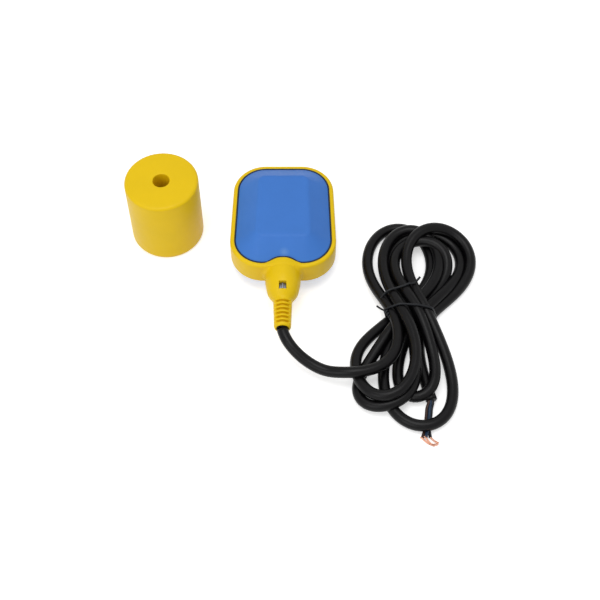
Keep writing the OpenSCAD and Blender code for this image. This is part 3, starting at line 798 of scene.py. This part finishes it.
def worked_metal(name, colour, roughness=0.26, stretch=(1.0, 12.0, 1.0), tarnish=0.25):
    """Turned or rolled metal: fine stretched scratches and patches of dull film."""
    material, tree, shader = node_tree(name)
    scratch = noise(tree, object_coordinates(tree, stretch), 900, 3)
    film = noise(tree, object_coordinates(tree), 240, 4)
    shade = mix_colour(tree, ramp_value(tree, film, 0, 1), tint(colour, 1 - tarnish), colour)
    set_inputs(tree, shader, Base_Color=shade, Metallic=1.0, Normal=bump(tree, scratch, 0.00002, 0.5),
               Roughness=ramp_value(tree, film, roughness + 0.12, roughness))
    return material


def cast_iron(colour):
    """Rough cast ballast with sand marks and a trace of rust."""
    material, tree, shader = node_tree("iron_ballast")
    vector = object_coordinates(tree)
    sand = noise(tree, vector, 700, 5, 0.7)
    patch = noise(tree, vector, 90, 3)
    rust = ramp_value(tree, patch, 0, 1, 0.6, 0.75)
    set_inputs(tree, shader, Base_Color=mix_colour(tree, rust, colour, RUST), Metallic=0.6,
               Roughness=ramp_value(tree, sand, 0.6, 0.85), Normal=bump(tree, sand, 0.0002, 0.8))
    return material


FINISHES = {}


def build_finishes(colours):
    """Every finish of the object by its slot's name."""
    FINISHES.update({
        "blue_plastic": blue_dome(colours.blue),
        "yellow_plastic": yellow_moulding(colours.yellow),
        # Seam bead: dark rubber that also stands for painted shadow in the gap.
        "seam_rubber": soft_rubber("seam_rubber", colours.bead_and_painted_shadow, 0.5),
        "cord_rubber": cord_rubber(colours.rubber),
        "ivory_plastic": moulded_plastic("ivory_plastic", colours.ivory, 0.5),
        "black_plastic": soft_rubber("black_plastic", colours.core_black, 0.42),
        # The steel's dark colour is painted shade for the clamp in the shaded window.
        "bright_steel": worked_metal("bright_steel", colours.steel_and_painted_shade),
        "terminal_brass": worked_metal("terminal_brass", colours.brass, 0.3),
        "copper_strands": worked_metal("copper_strands", colours.copper, 0.3, (8.0, 1.0, 8.0), 0.35),
        "brown_core": soft_rubber("brown_core", colours.core_brown, 0.4),
        "blue_core": soft_rubber("blue_core", colours.core_blue, 0.4),
        "black_core": soft_rubber("black_core", colours.core_black, 0.4),
        "iron_ballast": cast_iron(colours.iron),
    })


def set_finish(obj, slot):
    """Gives an object one finish."""
    obj.data.materials.clear()
    obj.data.materials.append(FINISHES[slot])


def finish_piece(obj, slot, *nodes):
    """Gives a piece its finish and hides the nodes it stands for."""
    set_finish(obj, slot)
    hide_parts(*nodes)


def seen_strength(tree, seen, unseen):
    """Strength that is one value for camera, glossy and transmission rays and another for the rest."""
    path = tree.nodes.new("ShaderNodeLightPath")
    total = path.outputs["Is Camera Ray"]
    for other in ("Is Glossy Ray", "Is Transmission Ray"):
        total = calculate(tree, "ShaderNodeMath", "MAXIMUM", total, path.outputs[other])
    return ramp_value(tree, total, unseen, seen, 0.0, 1.0)


def area_light(name, place, aim, size, power):
    """Square soft box at a place, turned to face a point."""
    data = bpy.data.lights.new(name, "AREA")
    data.shape = "SQUARE"
    data.size = size
    data.energy = power
    obj = bpy.data.objects.new(name, data)
    bpy.context.scene.collection.objects.link(obj)
    way = np.array(aim, float) - np.array(place, float)
    flat = math.hypot(way[0], way[1])
    obj.location = place
    obj.rotation_euler = (math.atan2(flat, -way[2]), 0, math.atan2(way[1], way[0]) - math.pi / 2)


class FLOATSWITCH_OT_stage(bpy.types.Operator):
    """Camera at the picture's angle, white floor and soft lights"""

    bl_idname = "floatswitch.stage"
    bl_label = "Stage"

    def execute(self, context):
        scene = context.scene
        build_finishes(scene.finish_colours)
        self.camera(scene)
        self.floor(scene)
        self.lights(scene)
        return {"FINISHED"}

    def camera(self, scene):
        """Camera in the middle in front of the object, tilted down on it."""
        data = bpy.data.cameras.new("camera")
        data.lens = CAMERA_LENS_MM
        data.sensor_width = 36.0
        camera = bpy.data.objects.new("camera", data)
        camera.location = CAMERA_PLACE
        camera.rotation_euler = (math.radians(CAMERA_TILT), 0, 0)
        scene.collection.objects.link(camera)
        scene.camera = camera

    def floor(self, scene):
        """Floor that reads white to the camera and in reflections, with its shadow kept.

        It glows more from half a metre to a metre and a half out, where the lamps fade.
        """
        half = FLOOR_HALF
        mesh = bpy.data.meshes.new("floor")
        corners = [(-half, -half, 0), (half, -half, 0), (half, half, 0), (-half, half, 0)]
        mesh.from_pydata(corners, [], [(0, 1, 2, 3)])
        floor = bpy.data.objects.new("floor", mesh)
        scene.collection.objects.link(floor)
        material, tree, shader = node_tree("floor_white")
        set_inputs(tree, shader, Base_Color=(0.9, 0.9, 0.9), Roughness=0.9, Specular_IOR_Level=0.0)
        reach = calculate(tree, "ShaderNodeVectorMath", "LENGTH", object_coordinates(tree))
        far = ramp_value(tree, reach, 1.0, FLOOR_FAR_GLOW, 0.5, 1.5)
        glow = calculate(tree, "ShaderNodeMath", "MULTIPLY", seen_strength(tree, FLOOR_GLOW, 0.0), far)
        emission = add_node(tree, "ShaderNodeEmission", Color=(1, 1, 1), Strength=glow)
        both = tree.nodes.new("ShaderNodeAddShader")
        tree.links.new(shader.outputs[0], both.inputs[0])
        tree.links.new(emission.outputs[0], both.inputs[1])
        tree.links.new(both.outputs[0], tree.nodes["Material Output"].inputs["Surface"])
        mesh.materials.append(material)

    def lights(self, scene):
        """Large soft box over the object, a side box, and a pale world."""
        for lamp in LAMPS:
            area_light(*lamp)
        world = bpy.data.worlds.new("studio")
        world.use_nodes = True
        scene.world = world
        tree = world.node_tree
        glow = seen_strength(tree, 1.0, WORLD_LIGHT)
        set_inputs(tree, tree.nodes["Background"], Color=(1, 1, 1), Strength=glow)
        scene.view_settings.view_transform = "Standard"


def add_tube_uv(obj, sides, step, diameter):
    """UV map of a tube: u goes once round it, v counts diameters along it."""
    mesh = obj.data
    layer = mesh.uv_layers.new(name="along")
    vertex = np.zeros(len(mesh.loops), np.int32)
    mesh.loops.foreach_get("vertex_index", vertex)
    ring = vertex // sides
    turn = vertex % sides
    first = np.zeros(len(mesh.polygons), np.int32)
    mesh.polygons.foreach_get("loop_start", first)
    total = np.zeros(len(mesh.polygons), np.int32)
    mesh.polygons.foreach_get("loop_total", total)
    at_end = np.repeat(np.maximum.reduceat(turn, first) == sides - 1, total)
    at_start = np.repeat(np.minimum.reduceat(turn, first) == 0, total)
    turn = np.where(at_end & at_start & (turn == 0), sides, turn)
    uv = np.stack([turn / sides, ring * step / diameter], 1)
    layer.data.foreach_set("uv", uv.astype(np.float32).ravel())


class FLOATSWITCH_OT_cord(bpy.types.Operator):
    """Cord from the boot to the tied hank, with its tie, cores and bare strands"""

    bl_idname = "floatswitch.cord"
    bl_label = "Cord"

    def execute(self, context):
        sizes = context.scene.cord_sizes
        path = settled_cord(sizes.diameter)
        cord = self.jacket(path, sizes)
        cores = self.cores(sizes)
        strands = make_piece("copper_strands", self.strands(sizes), "copper_strands", "copper_ends")
        tie = make_piece("twist_tie", self.tie(path, sizes), "black_plastic", "cord_tie")
        return {"FINISHED"}

    def jacket(self, path, sizes, sides=28, step=0.002):
        """Round jacket swept along the settled path, with UVs round and along it."""
        radius = sizes.diameter / 2
        fine = relax_path(resample(path, step), 3)
        fine[:, 2] = np.maximum(fine[:, 2], radius)
        cord = make_object("cord_jacket", *sweep(fine, radius, sides, cap=0.0004))
        add_tube_uv(cord, sides, step, sizes.diameter)
        merge_points(cord)
        finish_piece(cord, "cord_rubber", "cord_lead", "cord_hank")
        return cord

    def cores(self, sizes):
        """Insulated cores that run out of the jacket's cut end, under the last loop."""
        start = np.array(CORD_TAIL[-1])
        inside = 0.6
        radius = sizes.core_diameter * CORE_SHARE / 2
        made = []
        for core in CORES:
            low = CORE_LOWEST + core["lift"]
            offset = core["offset"]
            route = [start + (offset * inside, 0.002, 0.0), start + (offset, -0.002, -0.0006)]
            route += [(x + core["spread"] * share, y, low + over) for x, y, over, share in CORE_WAY]
            tube = sweep(spline([*route, core["end"]], 10), radius, 16, cap=0.0001)
            made.append(make_piece(core["name"], tube, core["slot"], core["node"]))
        return made

    def strands(self, sizes, count=7):
        """Bare copper: a few fine wires from each core, twisted a little and fanned at the tip.

        Each wire is root + way t, with a ring (cos, sin)(turn + twist t) about
        it, sags by 4 sag t (1 - t) and fans out with t^2. A sine of the wire's
        number stands in for chance.
        """
        radius = sizes.strand_diameter / 2
        bundle = 0.0006
        taper = 0.25
        twist = 2.6
        fan_width = 0.0009
        fan_sideways = 0.4
        t = np.linspace(-0.12, 1, 18)
        late = np.clip(t, 0, 1)
        parts = []
        for core in CORES:
            root = np.array(core["end"])
            way = np.array(core["tip"]) - root
            for k in range(count):
                turn = 2 * np.pi * k / count + twist * t
                ring = bundle * (1 - taper * t)
                fan = fan_width * math.sin(3.1 * k + 1.0) * late ** 2
                x = root[0] + way[0] * t + ring * np.cos(turn) + fan * fan_sideways
                y = root[1] + way[1] * t - core["sag"] * 4 * late * (1 - late) + fan
                z = root[2] + way[2] * t + ring * np.sin(turn)
                parts.append(sweep(np.stack([x, y, np.maximum(z, radius)], 1), radius, 6, cap=0.00004))
        return join_parts(parts)

    def tie(self, path, sizes):
        """Thin twist tie: a closed wrap round the waist, a second loose wrap, a knot and two ends."""
        r = sizes.tie_diameter / 2
        wrap = waist_wrap(path, HANK_WAIST_Y, sizes.diameter / 2 + r)
        parts = [sweep(wrap, r, 12, closed=True, spokes=free_spokes)]
        route = spline(TIE_ROUTE, 10)
        route[:, 2] = drape(path, route[:, :2], sizes.diameter / 2, r)
        loose = np.concatenate([route[0] + TIE_START, route[::4], route[-1] + TIE_FREE_END])
        parts.append(sweep(spline(loose, 5), r, 12, spokes=free_spokes))
        t = np.linspace(0, 1, 48)[:, None]
        thin = []
        for phase in (0.0, np.pi):
            turn = phase + KNOT_TWIST * t
            around = KNOT_RADIUS * np.concatenate([np.cos(turn), np.zeros_like(t), np.sin(turn)], 1)
            thin.append(KNOT_FROM + KNOT_WAY * t + around)
        thin.append(spline(TIE_EAR, 8))
        parts += [sweep(line, r * KNOT_WIRE_SHARE, 10, spokes=free_spokes) for line in thin]
        return join_parts(parts)


class FLOATSWITCH_OT_band(bpy.types.Operator):
    """Yellow overmould: band, collar, neck and grooved boot with its window"""

    bl_idname = "floatswitch.band"
    bl_label = "Band and boot"

    def execute(self, context):
        sizes = context.scene.float_sizes
        verts, faces = join_parts([self.band(sizes), self.collar(sizes, 1), self.collar(sizes, -1)])
        skin = make_object("band_skin", verts, faces)
        mark_hollow(skin, np.zeros(len(verts)))
        grid, hollow = self.neck(sizes)
        neck = make_object("neck_part", *grid_surface(grid, wrap_rows=True))
        mark_hollow(neck, hollow.ravel())
        merge_points(neck, 1e-7)
        self.cut_window(neck)
        add_mesh(skin, neck)
        merge_points(skin, 1e-7)
        sharpen(skin, 40)
        finish_piece(skin, "yellow_plastic", "band_and_boot")
        make_piece("clamp_skin", join_parts(self.clamp()), "bright_steel", "cord_clamp", 1e-7, 35)
        return {"FINISHED"}

    def clamp(self):
        """Steel clamp ring about the cord, with a plate and a rib that show in the window."""
        outer = CLAMP_HIGH.x
        bore = INNER_CORD_RADIUS + 2 * FIT
        low = CLAMP_LOW.y
        high = CLAMP_HIGH.y
        corners = [(bore, low), (outer, low), (outer, high), (bore, high)]
        ring = revolve_grid(rounded(corners, [0.0002, 0.0006, 0.0006, 0.0002], 5), 72)[:, :, [0, 2, 1]]
        ring[:, :, 2] += MID_Z
        middle = -END_Y - WINDOW_START - WINDOW_LENGTH / 2
        return [grid_surface(ring, wrap_rows=True)] + [self.block(middle, *block) for block in CLAMP_BLOCKS]

    def block(self, middle_y, half_x, half_y, high, edge):
        """Block with softened edges about x = 0, its section of (inset, height) carried round a rectangle."""
        low = CLAMP_BLOCK_LOW
        section = rounded([(half_x, low), (0, low), (0, high), (half_x, high)], [0, edge, edge, 0], 4)
        x = np.maximum(half_x - section[:, 0], 0)
        y = np.where(x <= 0, 0, np.maximum(half_y - section[:, 0], 0))
        signs = np.array([(-1, -1), (1, -1), (1, 1), (-1, 1)])
        z = np.broadcast_to(MID_Z + section[:, 1][:, None], (len(section), 4))
        return grid_surface(np.stack([x[:, None] * signs[:, 0], middle_y + y[:, None] * signs[:, 1], z], -1))

    def band(self, sizes):
        """Closed section of (inset, height) carried round the plan outline.

        The outer corners have the band's edge radius, and a small step at the
        inner corners takes the dark bead.
        """
        low = MID_Z - sizes.band_height / 2
        high = MID_Z + sizes.band_height / 2
        rim = sizes.rim_width
        lip = rim - sizes.bead_width
        corners = [(0, low), (0, high), (lip, high), (lip, high - SEAM_NOTCH), (rim, high - SEAM_NOTCH),
                   (rim, low + SEAM_NOTCH), (lip, low + SEAM_NOTCH), (lip, low)]
        edge = sizes.edge_radius
        inner_edge = 0.0003
        section = rounded(corners, [edge, edge, inner_edge, 0, 0, 0, 0, inner_edge], 7)
        return grid_surface(loft(sizes, section), wrap_rows=True)

    def collar(self, sizes, way, columns=97, rows=34):
        """Swell where the rim runs up over the neck, above and mirrored below.

        The neck stands sqrt(r^2 - x^2) over the middle plane. The rim stands
        its half height less the edge's rounding, and rises over the neck with
        the swell. The surface is their smooth maximum
        max(a, b) + k (1 - |a - b| / k)^2 / 4, and ends in a small lip along the
        seam. Past the neck's sides it falls away and sinks into the band.
        """
        half_span = 0.0150
        front_gap = 0.00006
        overrun = 0.0002
        crowding = 1.6
        blend = 0.0012
        lip = 0.0010
        lip_ends = (0.012, 0.009)
        fall = 4
        rise = 0.85
        proud = 0.00003
        sink = 0.00008
        sink_start = 0.0125
        depth = 0.004
        half_band = sizes.band_height / 2
        edge = sizes.edge_radius
        front = -END_Y + front_gap
        x = np.linspace(-half_span, half_span, columns)[None, :]
        out = np.abs(x)
        seam = seam_y(sizes, x) + overrun
        y = front + (seam - front) * np.linspace(0, 1, rows)[:, None] ** crowding
        neck = np.sqrt(np.maximum(sizes.neck_radius ** 2 - x ** 2, 0))
        neck = neck - np.maximum(out - sizes.neck_radius, 0) * fall
        rim = half_band - edge * quarter((y + END_Y) / edge)
        rim = rim + rise * (sizes.neck_radius - half_band) * swell(sizes, x)
        near = np.maximum(1 - np.abs(neck - rim) / blend, 0)
        top = np.maximum(neck, rim) + blend * near ** 2 / 4 + proud
        top = top - lip * quarter((seam - y) / lip) * ease(*lip_ends, out)
        top = top - sink * ease(sink_start, half_span, out)
        x = np.broadcast_to(x, top.shape)
        upper = np.stack([x, y, MID_Z + way * top], -1)
        lower = np.stack([x, y, np.full_like(top, MID_Z + way * (half_band - depth))], -1)
        grid = np.concatenate([lower, upper[:, ::-1]], 1)
        first = np.broadcast_to(grid[:1].mean(1, keepdims=True), grid[:1].shape)
        last = np.broadcast_to(grid[-1:].mean(1, keepdims=True), grid[:1].shape)
        return grid_surface(np.concatenate([first, grid, last]))

    def outer_profile(self, sizes):
        """Rows of (y, radius) along the neck, shoulder and boot, close together at the grooves."""
        shape = np.array(NECK_SHAPE)
        line = spline(np.column_stack([shape, np.zeros(len(shape))]), 14)[:-1]
        boot, boot_radius = shape[-1]
        tip = TIP_Y + sizes.tip_setback
        y = np.linspace(boot, tip + TIP_STRAIGHT_TO, 250)
        radius = boot_radius + (sizes.tip_radius - boot_radius) * (boot - y) / (boot - tip)
        return np.concatenate([line[:, 0], y]), np.concatenate([line[:, 1], radius])

    def neck(self, sizes, columns=144, grooves=6):
        """Neck and boot as radius against place along Y and angle from +Z, with the grooves' depth.

        A groove takes its depth off the radius over the middle of the top and
        the bottom, and fades out towards its ends. Where the neck's sides meet
        the band they flare by a quarter circle.
        """
        flare = 0.003
        flare_high = 0.0105
        flare_low = 0.0055
        groove_flank = 0.00008
        end_outside = 0.0006
        end_inside = 0.0007
        y, r = self.outer_profile(sizes)
        a = np.linspace(0, 2 * np.pi, columns, endpoint=False)
        side = ease(flare_high, flare_low, np.abs(np.cos(a)) * sizes.neck_radius)
        radius = r[:, None] + (flare * quarter((-END_Y - y) / flare))[:, None] * side
        boot, boot_radius = NECK_SHAPE[-1]
        chord = sizes.groove_chord / 2
        reach = ease(chord + end_outside, chord - end_inside, np.abs(np.sin(a)) * boot_radius)
        half = sizes.groove_width / 2
        hollow = np.zeros_like(radius)
        for k in range(grooves):
            middle = boot - sizes.groove_start - sizes.groove_pitch * k
            inside = ease(half + groove_flank, half - groove_flank, np.abs(y - middle))
            hollow = np.maximum(hollow, inside[:, None] * reach)
        radius = radius - sizes.groove_depth * hollow
        mouth = self.mouth_profile(sizes)
        y = np.concatenate([y, mouth[:, 0]])
        radius = np.concatenate([radius, np.repeat(mouth[:, 1:], columns, 1)])
        hollow = np.concatenate([hollow, np.zeros((len(mouth), columns))])
        x = radius * np.sin(a)
        z = MID_Z + radius * np.cos(a)
        return np.stack([x, np.broadcast_to(y[:, None], x.shape), z], -1), hollow

    def mouth_profile(self, sizes):
        """Rounded tip, belled mouth, bore with the clamp's and the washer's pockets, and the inner end."""
        cord = INNER_CORD_RADIUS + FIT
        clamp = CLAMP_HIGH.x + FIT
        washer = WASHER_HIGH.x + FIT
        tip = TIP_Y + sizes.tip_setback
        rounding = [(tip + back, sizes.tip_radius - inward) for back, inward in TIP_ROUNDING]
        return np.array(rounding + [
            (tip, cord + MOUTH_BELL), (tip + MOUTH_DEPTH, cord),
            (CLAMP_LOW.y - FIT, cord), (CLAMP_LOW.y - FIT, clamp),
            (CLAMP_HIGH.y + FIT, clamp), (CLAMP_HIGH.y + FIT, cord),
            (WASHER_LOW.y - FIT, cord), (WASHER_LOW.y - FIT, washer),
            (NECK_SHAPE[0][0], washer),
        ])

    def cut_window(self, skin):
        """Window through the neck's top that shows the steel clamp."""
        far = -END_Y - WINDOW_START
        half = WINDOW_WIDTH / 2
        corners = [(x, y, MID_Z + z) for x in (-half, half) for y in (far - WINDOW_LENGTH, far)
                   for z in (WINDOW_LOW, WINDOW_HIGH)]
        quads = [(0, 1, 3, 2), (4, 6, 7, 5), (0, 4, 5, 1), (2, 3, 7, 6), (0, 2, 6, 4), (1, 5, 7, 3)]
        mesh = bpy.data.meshes.new("window_cutter")
        mesh.from_pydata(corners, [], quads)
        cutter = bpy.data.objects.new("window_cutter", mesh)
        bpy.context.scene.collection.objects.link(cutter)
        cut = skin.modifiers.new("window", "BOOLEAN")
        cut.operation = "DIFFERENCE"
        cut.solver = "EXACT"
        cut.object = cutter
        graph = bpy.context.evaluated_depsgraph_get()
        result = bpy.data.meshes.new_from_object(skin.evaluated_get(graph))
        skin.modifiers.clear()
        skin.data = result
        bpy.data.objects.remove(cutter)


def swell(sizes, x):
    """Shape of the swell across the neck, (1 + cos(pi |x / half width|^1.4)) / 2."""
    share = np.clip(np.abs(x) / sizes.collar_half, 0, 1) ** 1.4
    return 0.5 * (1 + np.cos(np.pi * share))


def seam_y(sizes, x):
    """Place along Y of the seam at the neck's end of the float.

    It is the straight seam half a bead inside the rim, moved in by the swell.
    """
    inset = sizes.rim_width - sizes.bead_width / 2
    return -END_Y + inset + swell(sizes, x) * (sizes.neck_reach - inset)


def dome_height(sizes, y):
    """Height of the front slope of the upper dome at a place along Y."""
    run = y + END_Y - sizes.rim_width
    high = MID_Z + sizes.band_height / 2
    return high + np.maximum(run, 0) * (FLOAT_TOP - high) / sizes.slope_run


class FLOATSWITCH_OT_domes(bpy.types.Operator):
    """The two blue half shells, with soft edges round their flat faces"""

    bl_idname = "floatswitch.domes"
    bl_label = "Domes"

    def execute(self, context):
        sizes = context.scene.float_sizes
        for name, node, way in (("upper_dome", "upper_shell", 1), ("lower_dome", "lower_shell", -1)):
            grid = self.shell(sizes)
            grid[:, :, 2] = MID_Z + way * grid[:, :, 2]
            make_piece(name, grid_surface(grid, wrap_rows=True), "blue_plastic", node, sharp=50)
        return {"FINISHED"}

    def shell(self, sizes):
        """Closed section of (inset, height over the weld) carried round the outline.

        It climbs the wall, the lip and the slope, blends into the flat face,
        closes at the middle and comes back one wall below.
        """
        rim = sizes.rim_width + DOME_GAP
        inner_rim = rim + sizes.shell_wall
        half_band = sizes.band_height / 2
        top = FLOAT_TOP - MID_Z
        ceiling = top - sizes.shell_wall
        inner_drop = 0.001
        flat_steps = 14
        corners = [(rim, SHELL_EDGE), (rim, half_band), (rim + sizes.slope_run, top), (END_Y, top)]
        outer = rounded(corners, [0, DOME_LIP_RADIUS, sizes.slope_blend, 0], 9)
        flat = np.linspace(outer[-2, 0], END_Y, flat_steps)[1:-1]
        flat = np.stack([flat, np.full_like(flat, top)], 1)
        inner = [(END_Y, ceiling), (inner_rim + sizes.slope_run, ceiling),
                 (inner_rim, half_band - inner_drop), (inner_rim, SHELL_EDGE)]
        return loft(sizes, np.concatenate([outer[:-1], flat, outer[-1:], inner]))


class FLOATSWITCH_OT_beads(bpy.types.Operator):
    """Dark beads between rim and dome, carried round the end of the neck; their dark rubber also serves as
    painted shadow in the gap
    """

    bl_idname = "floatswitch.beads"
    bl_label = "Seam beads"

    def execute(self, context):
        sizes = context.scene.float_sizes
        line = self.seam_line(sizes)
        for name, node, way in (("upper_seam", "upper_bead", 1), ("lower_seam", "lower_bead", -1)):
            path = line.copy()
            path[:, 2] = MID_Z + way * (path[:, 2] - MID_Z)
            tube = sweep(path, sizes.bead_width / 2, 12, closed=True, flat=0.8)
            make_piece(name, tube, "seam_rubber", node)
        return {"FINISHED"}

    def seam_line(self, sizes):
        """Outline half a bead inside the rim, which swings in round the neck.

        Within the collar its place is that of seam_y, and its height is the
        dome's own with a lift that follows the swell.
        """
        inset = sizes.rim_width - sizes.bead_width / 2
        plan = plan_outline(sizes, inset, arc_steps=24, side_steps=90)[0]
        x, y = plan.T
        front = (y < -END_Y + 2 * sizes.rim_width) & (np.abs(x) < sizes.collar_half)
        y = np.where(front, seam_y(sizes, x), y)
        rest = MID_Z + sizes.band_height / 2 - SEAM_SINK
        over = np.maximum(dome_height(sizes, y), rest) + SEAM_LIFT * swell(sizes, x)
        path = np.stack([x, y, np.where(front, over, rest)], 1)
        return resample(np.concatenate([path, path[:1]]), SEAM_STEP)[:-1]


class FLOATSWITCH_OT_counterweight(bpy.types.Operator):
    """Counterweight: moulded shell with soft edges and a hole for the cord"""

    bl_idname = "floatswitch.counterweight"
    bl_label = "Counterweight"

    def execute(self, context):
        grid = revolve_grid(self.section(context.scene.weight_sizes), 160)
        grid[:, :, 0] += (WEIGHT_LOW.x + WEIGHT_HIGH.x) / 2
        grid[:, :, 1] += (WEIGHT_LOW.y + WEIGHT_HIGH.y) / 2
        surface = grid_surface(grid, wrap_rows=True)
        make_piece("weight_skin", surface, "yellow_plastic", "weight_shell", sharp=50)
        return {"FINISHED"}

    def section(self, sizes):
        """Shell's section of (radius, height): outer wall, top, hole and the inside one wall in.

        The foot draws in by 0.7 of its radius over 1.5 of it in height.
        """
        r = sizes.radius
        wall = sizes.wall
        hole = sizes.hole_radius
        top = WEIGHT_HIGH.z
        foot = sizes.foot_radius
        corners = [(r - wall, 0), (r - 0.7 * foot, 0), (r, 1.5 * foot), (r, top), (hole, top), (hole, 0),
                   (hole + wall, 0), (hole + wall, top - wall), (r - wall, top - wall)]
        hole_foot = 0.0003
        radii = [0, 0.6 * foot, 2 * foot, sizes.top_radius, sizes.mouth_radius, hole_foot, 0, 0, 0]
        return rounded(corners, radii, 8)


class FLOATSWITCH_OT_works(bpy.types.Operator):
    """Finishes on every node of the frame, so on the inner works, gland and ballast too"""

    bl_idname = "floatswitch.works"
    bl_label = "Inner works"

    def execute(self, context):
        for part in frame["record"]["subparts"]:
            set_finish(frame["nodes"][part["node"]], part["material_slot"])
        return {"FINISHED"}


class FLOATSWITCH_PT_panel(bpy.types.Panel):
    """Buttons that build the float switch piece by piece"""

    bl_idname = "FLOATSWITCH_PT_panel"
    bl_label = "Float Switch"
    bl_space_type = "VIEW_3D"
    bl_region_type = "UI"
    bl_category = "Float Switch"

    def draw(self, context):
        for operator in OPERATORS:
            self.layout.operator(operator.bl_idname)


GROUPS = (("float_sizes", FloatSizes), ("cord_sizes", CordSizes), ("weight_sizes", WeightSizes),
          ("finish_colours", FinishColours))
OPERATORS = (FLOATSWITCH_OT_stage, FLOATSWITCH_OT_cord, FLOATSWITCH_OT_band, FLOATSWITCH_OT_domes,
             FLOATSWITCH_OT_beads, FLOATSWITCH_OT_counterweight, FLOATSWITCH_OT_works)


def register():
    """Registers the groups of sizes, the operators and the panel."""
    for name, group in GROUPS:
        bpy.utils.register_class(group)
        setattr(bpy.types.Scene, name, PointerProperty(type=group))
    for operator in OPERATORS:
        bpy.utils.register_class(operator)
    bpy.utils.register_class(FLOATSWITCH_PT_panel)


def unregister():
    """Takes the panel, the operators and the groups away again."""
    bpy.utils.unregister_class(FLOATSWITCH_PT_panel)
    for operator in reversed(OPERATORS):
        bpy.utils.unregister_class(operator)
    for name, group in reversed(GROUPS):
        delattr(bpy.types.Scene, name)
        bpy.utils.unregister_class(group)


def main():
    """Registers the add-on and builds every piece in order."""
    register()
    bpy.ops.floatswitch.stage()
    bpy.ops.floatswitch.cord()
    bpy.ops.floatswitch.band()
    bpy.ops.floatswitch.domes()
    bpy.ops.floatswitch.beads()
    bpy.ops.floatswitch.counterweight()
    bpy.ops.floatswitch.works()


if __name__ == "__main__":
    main()
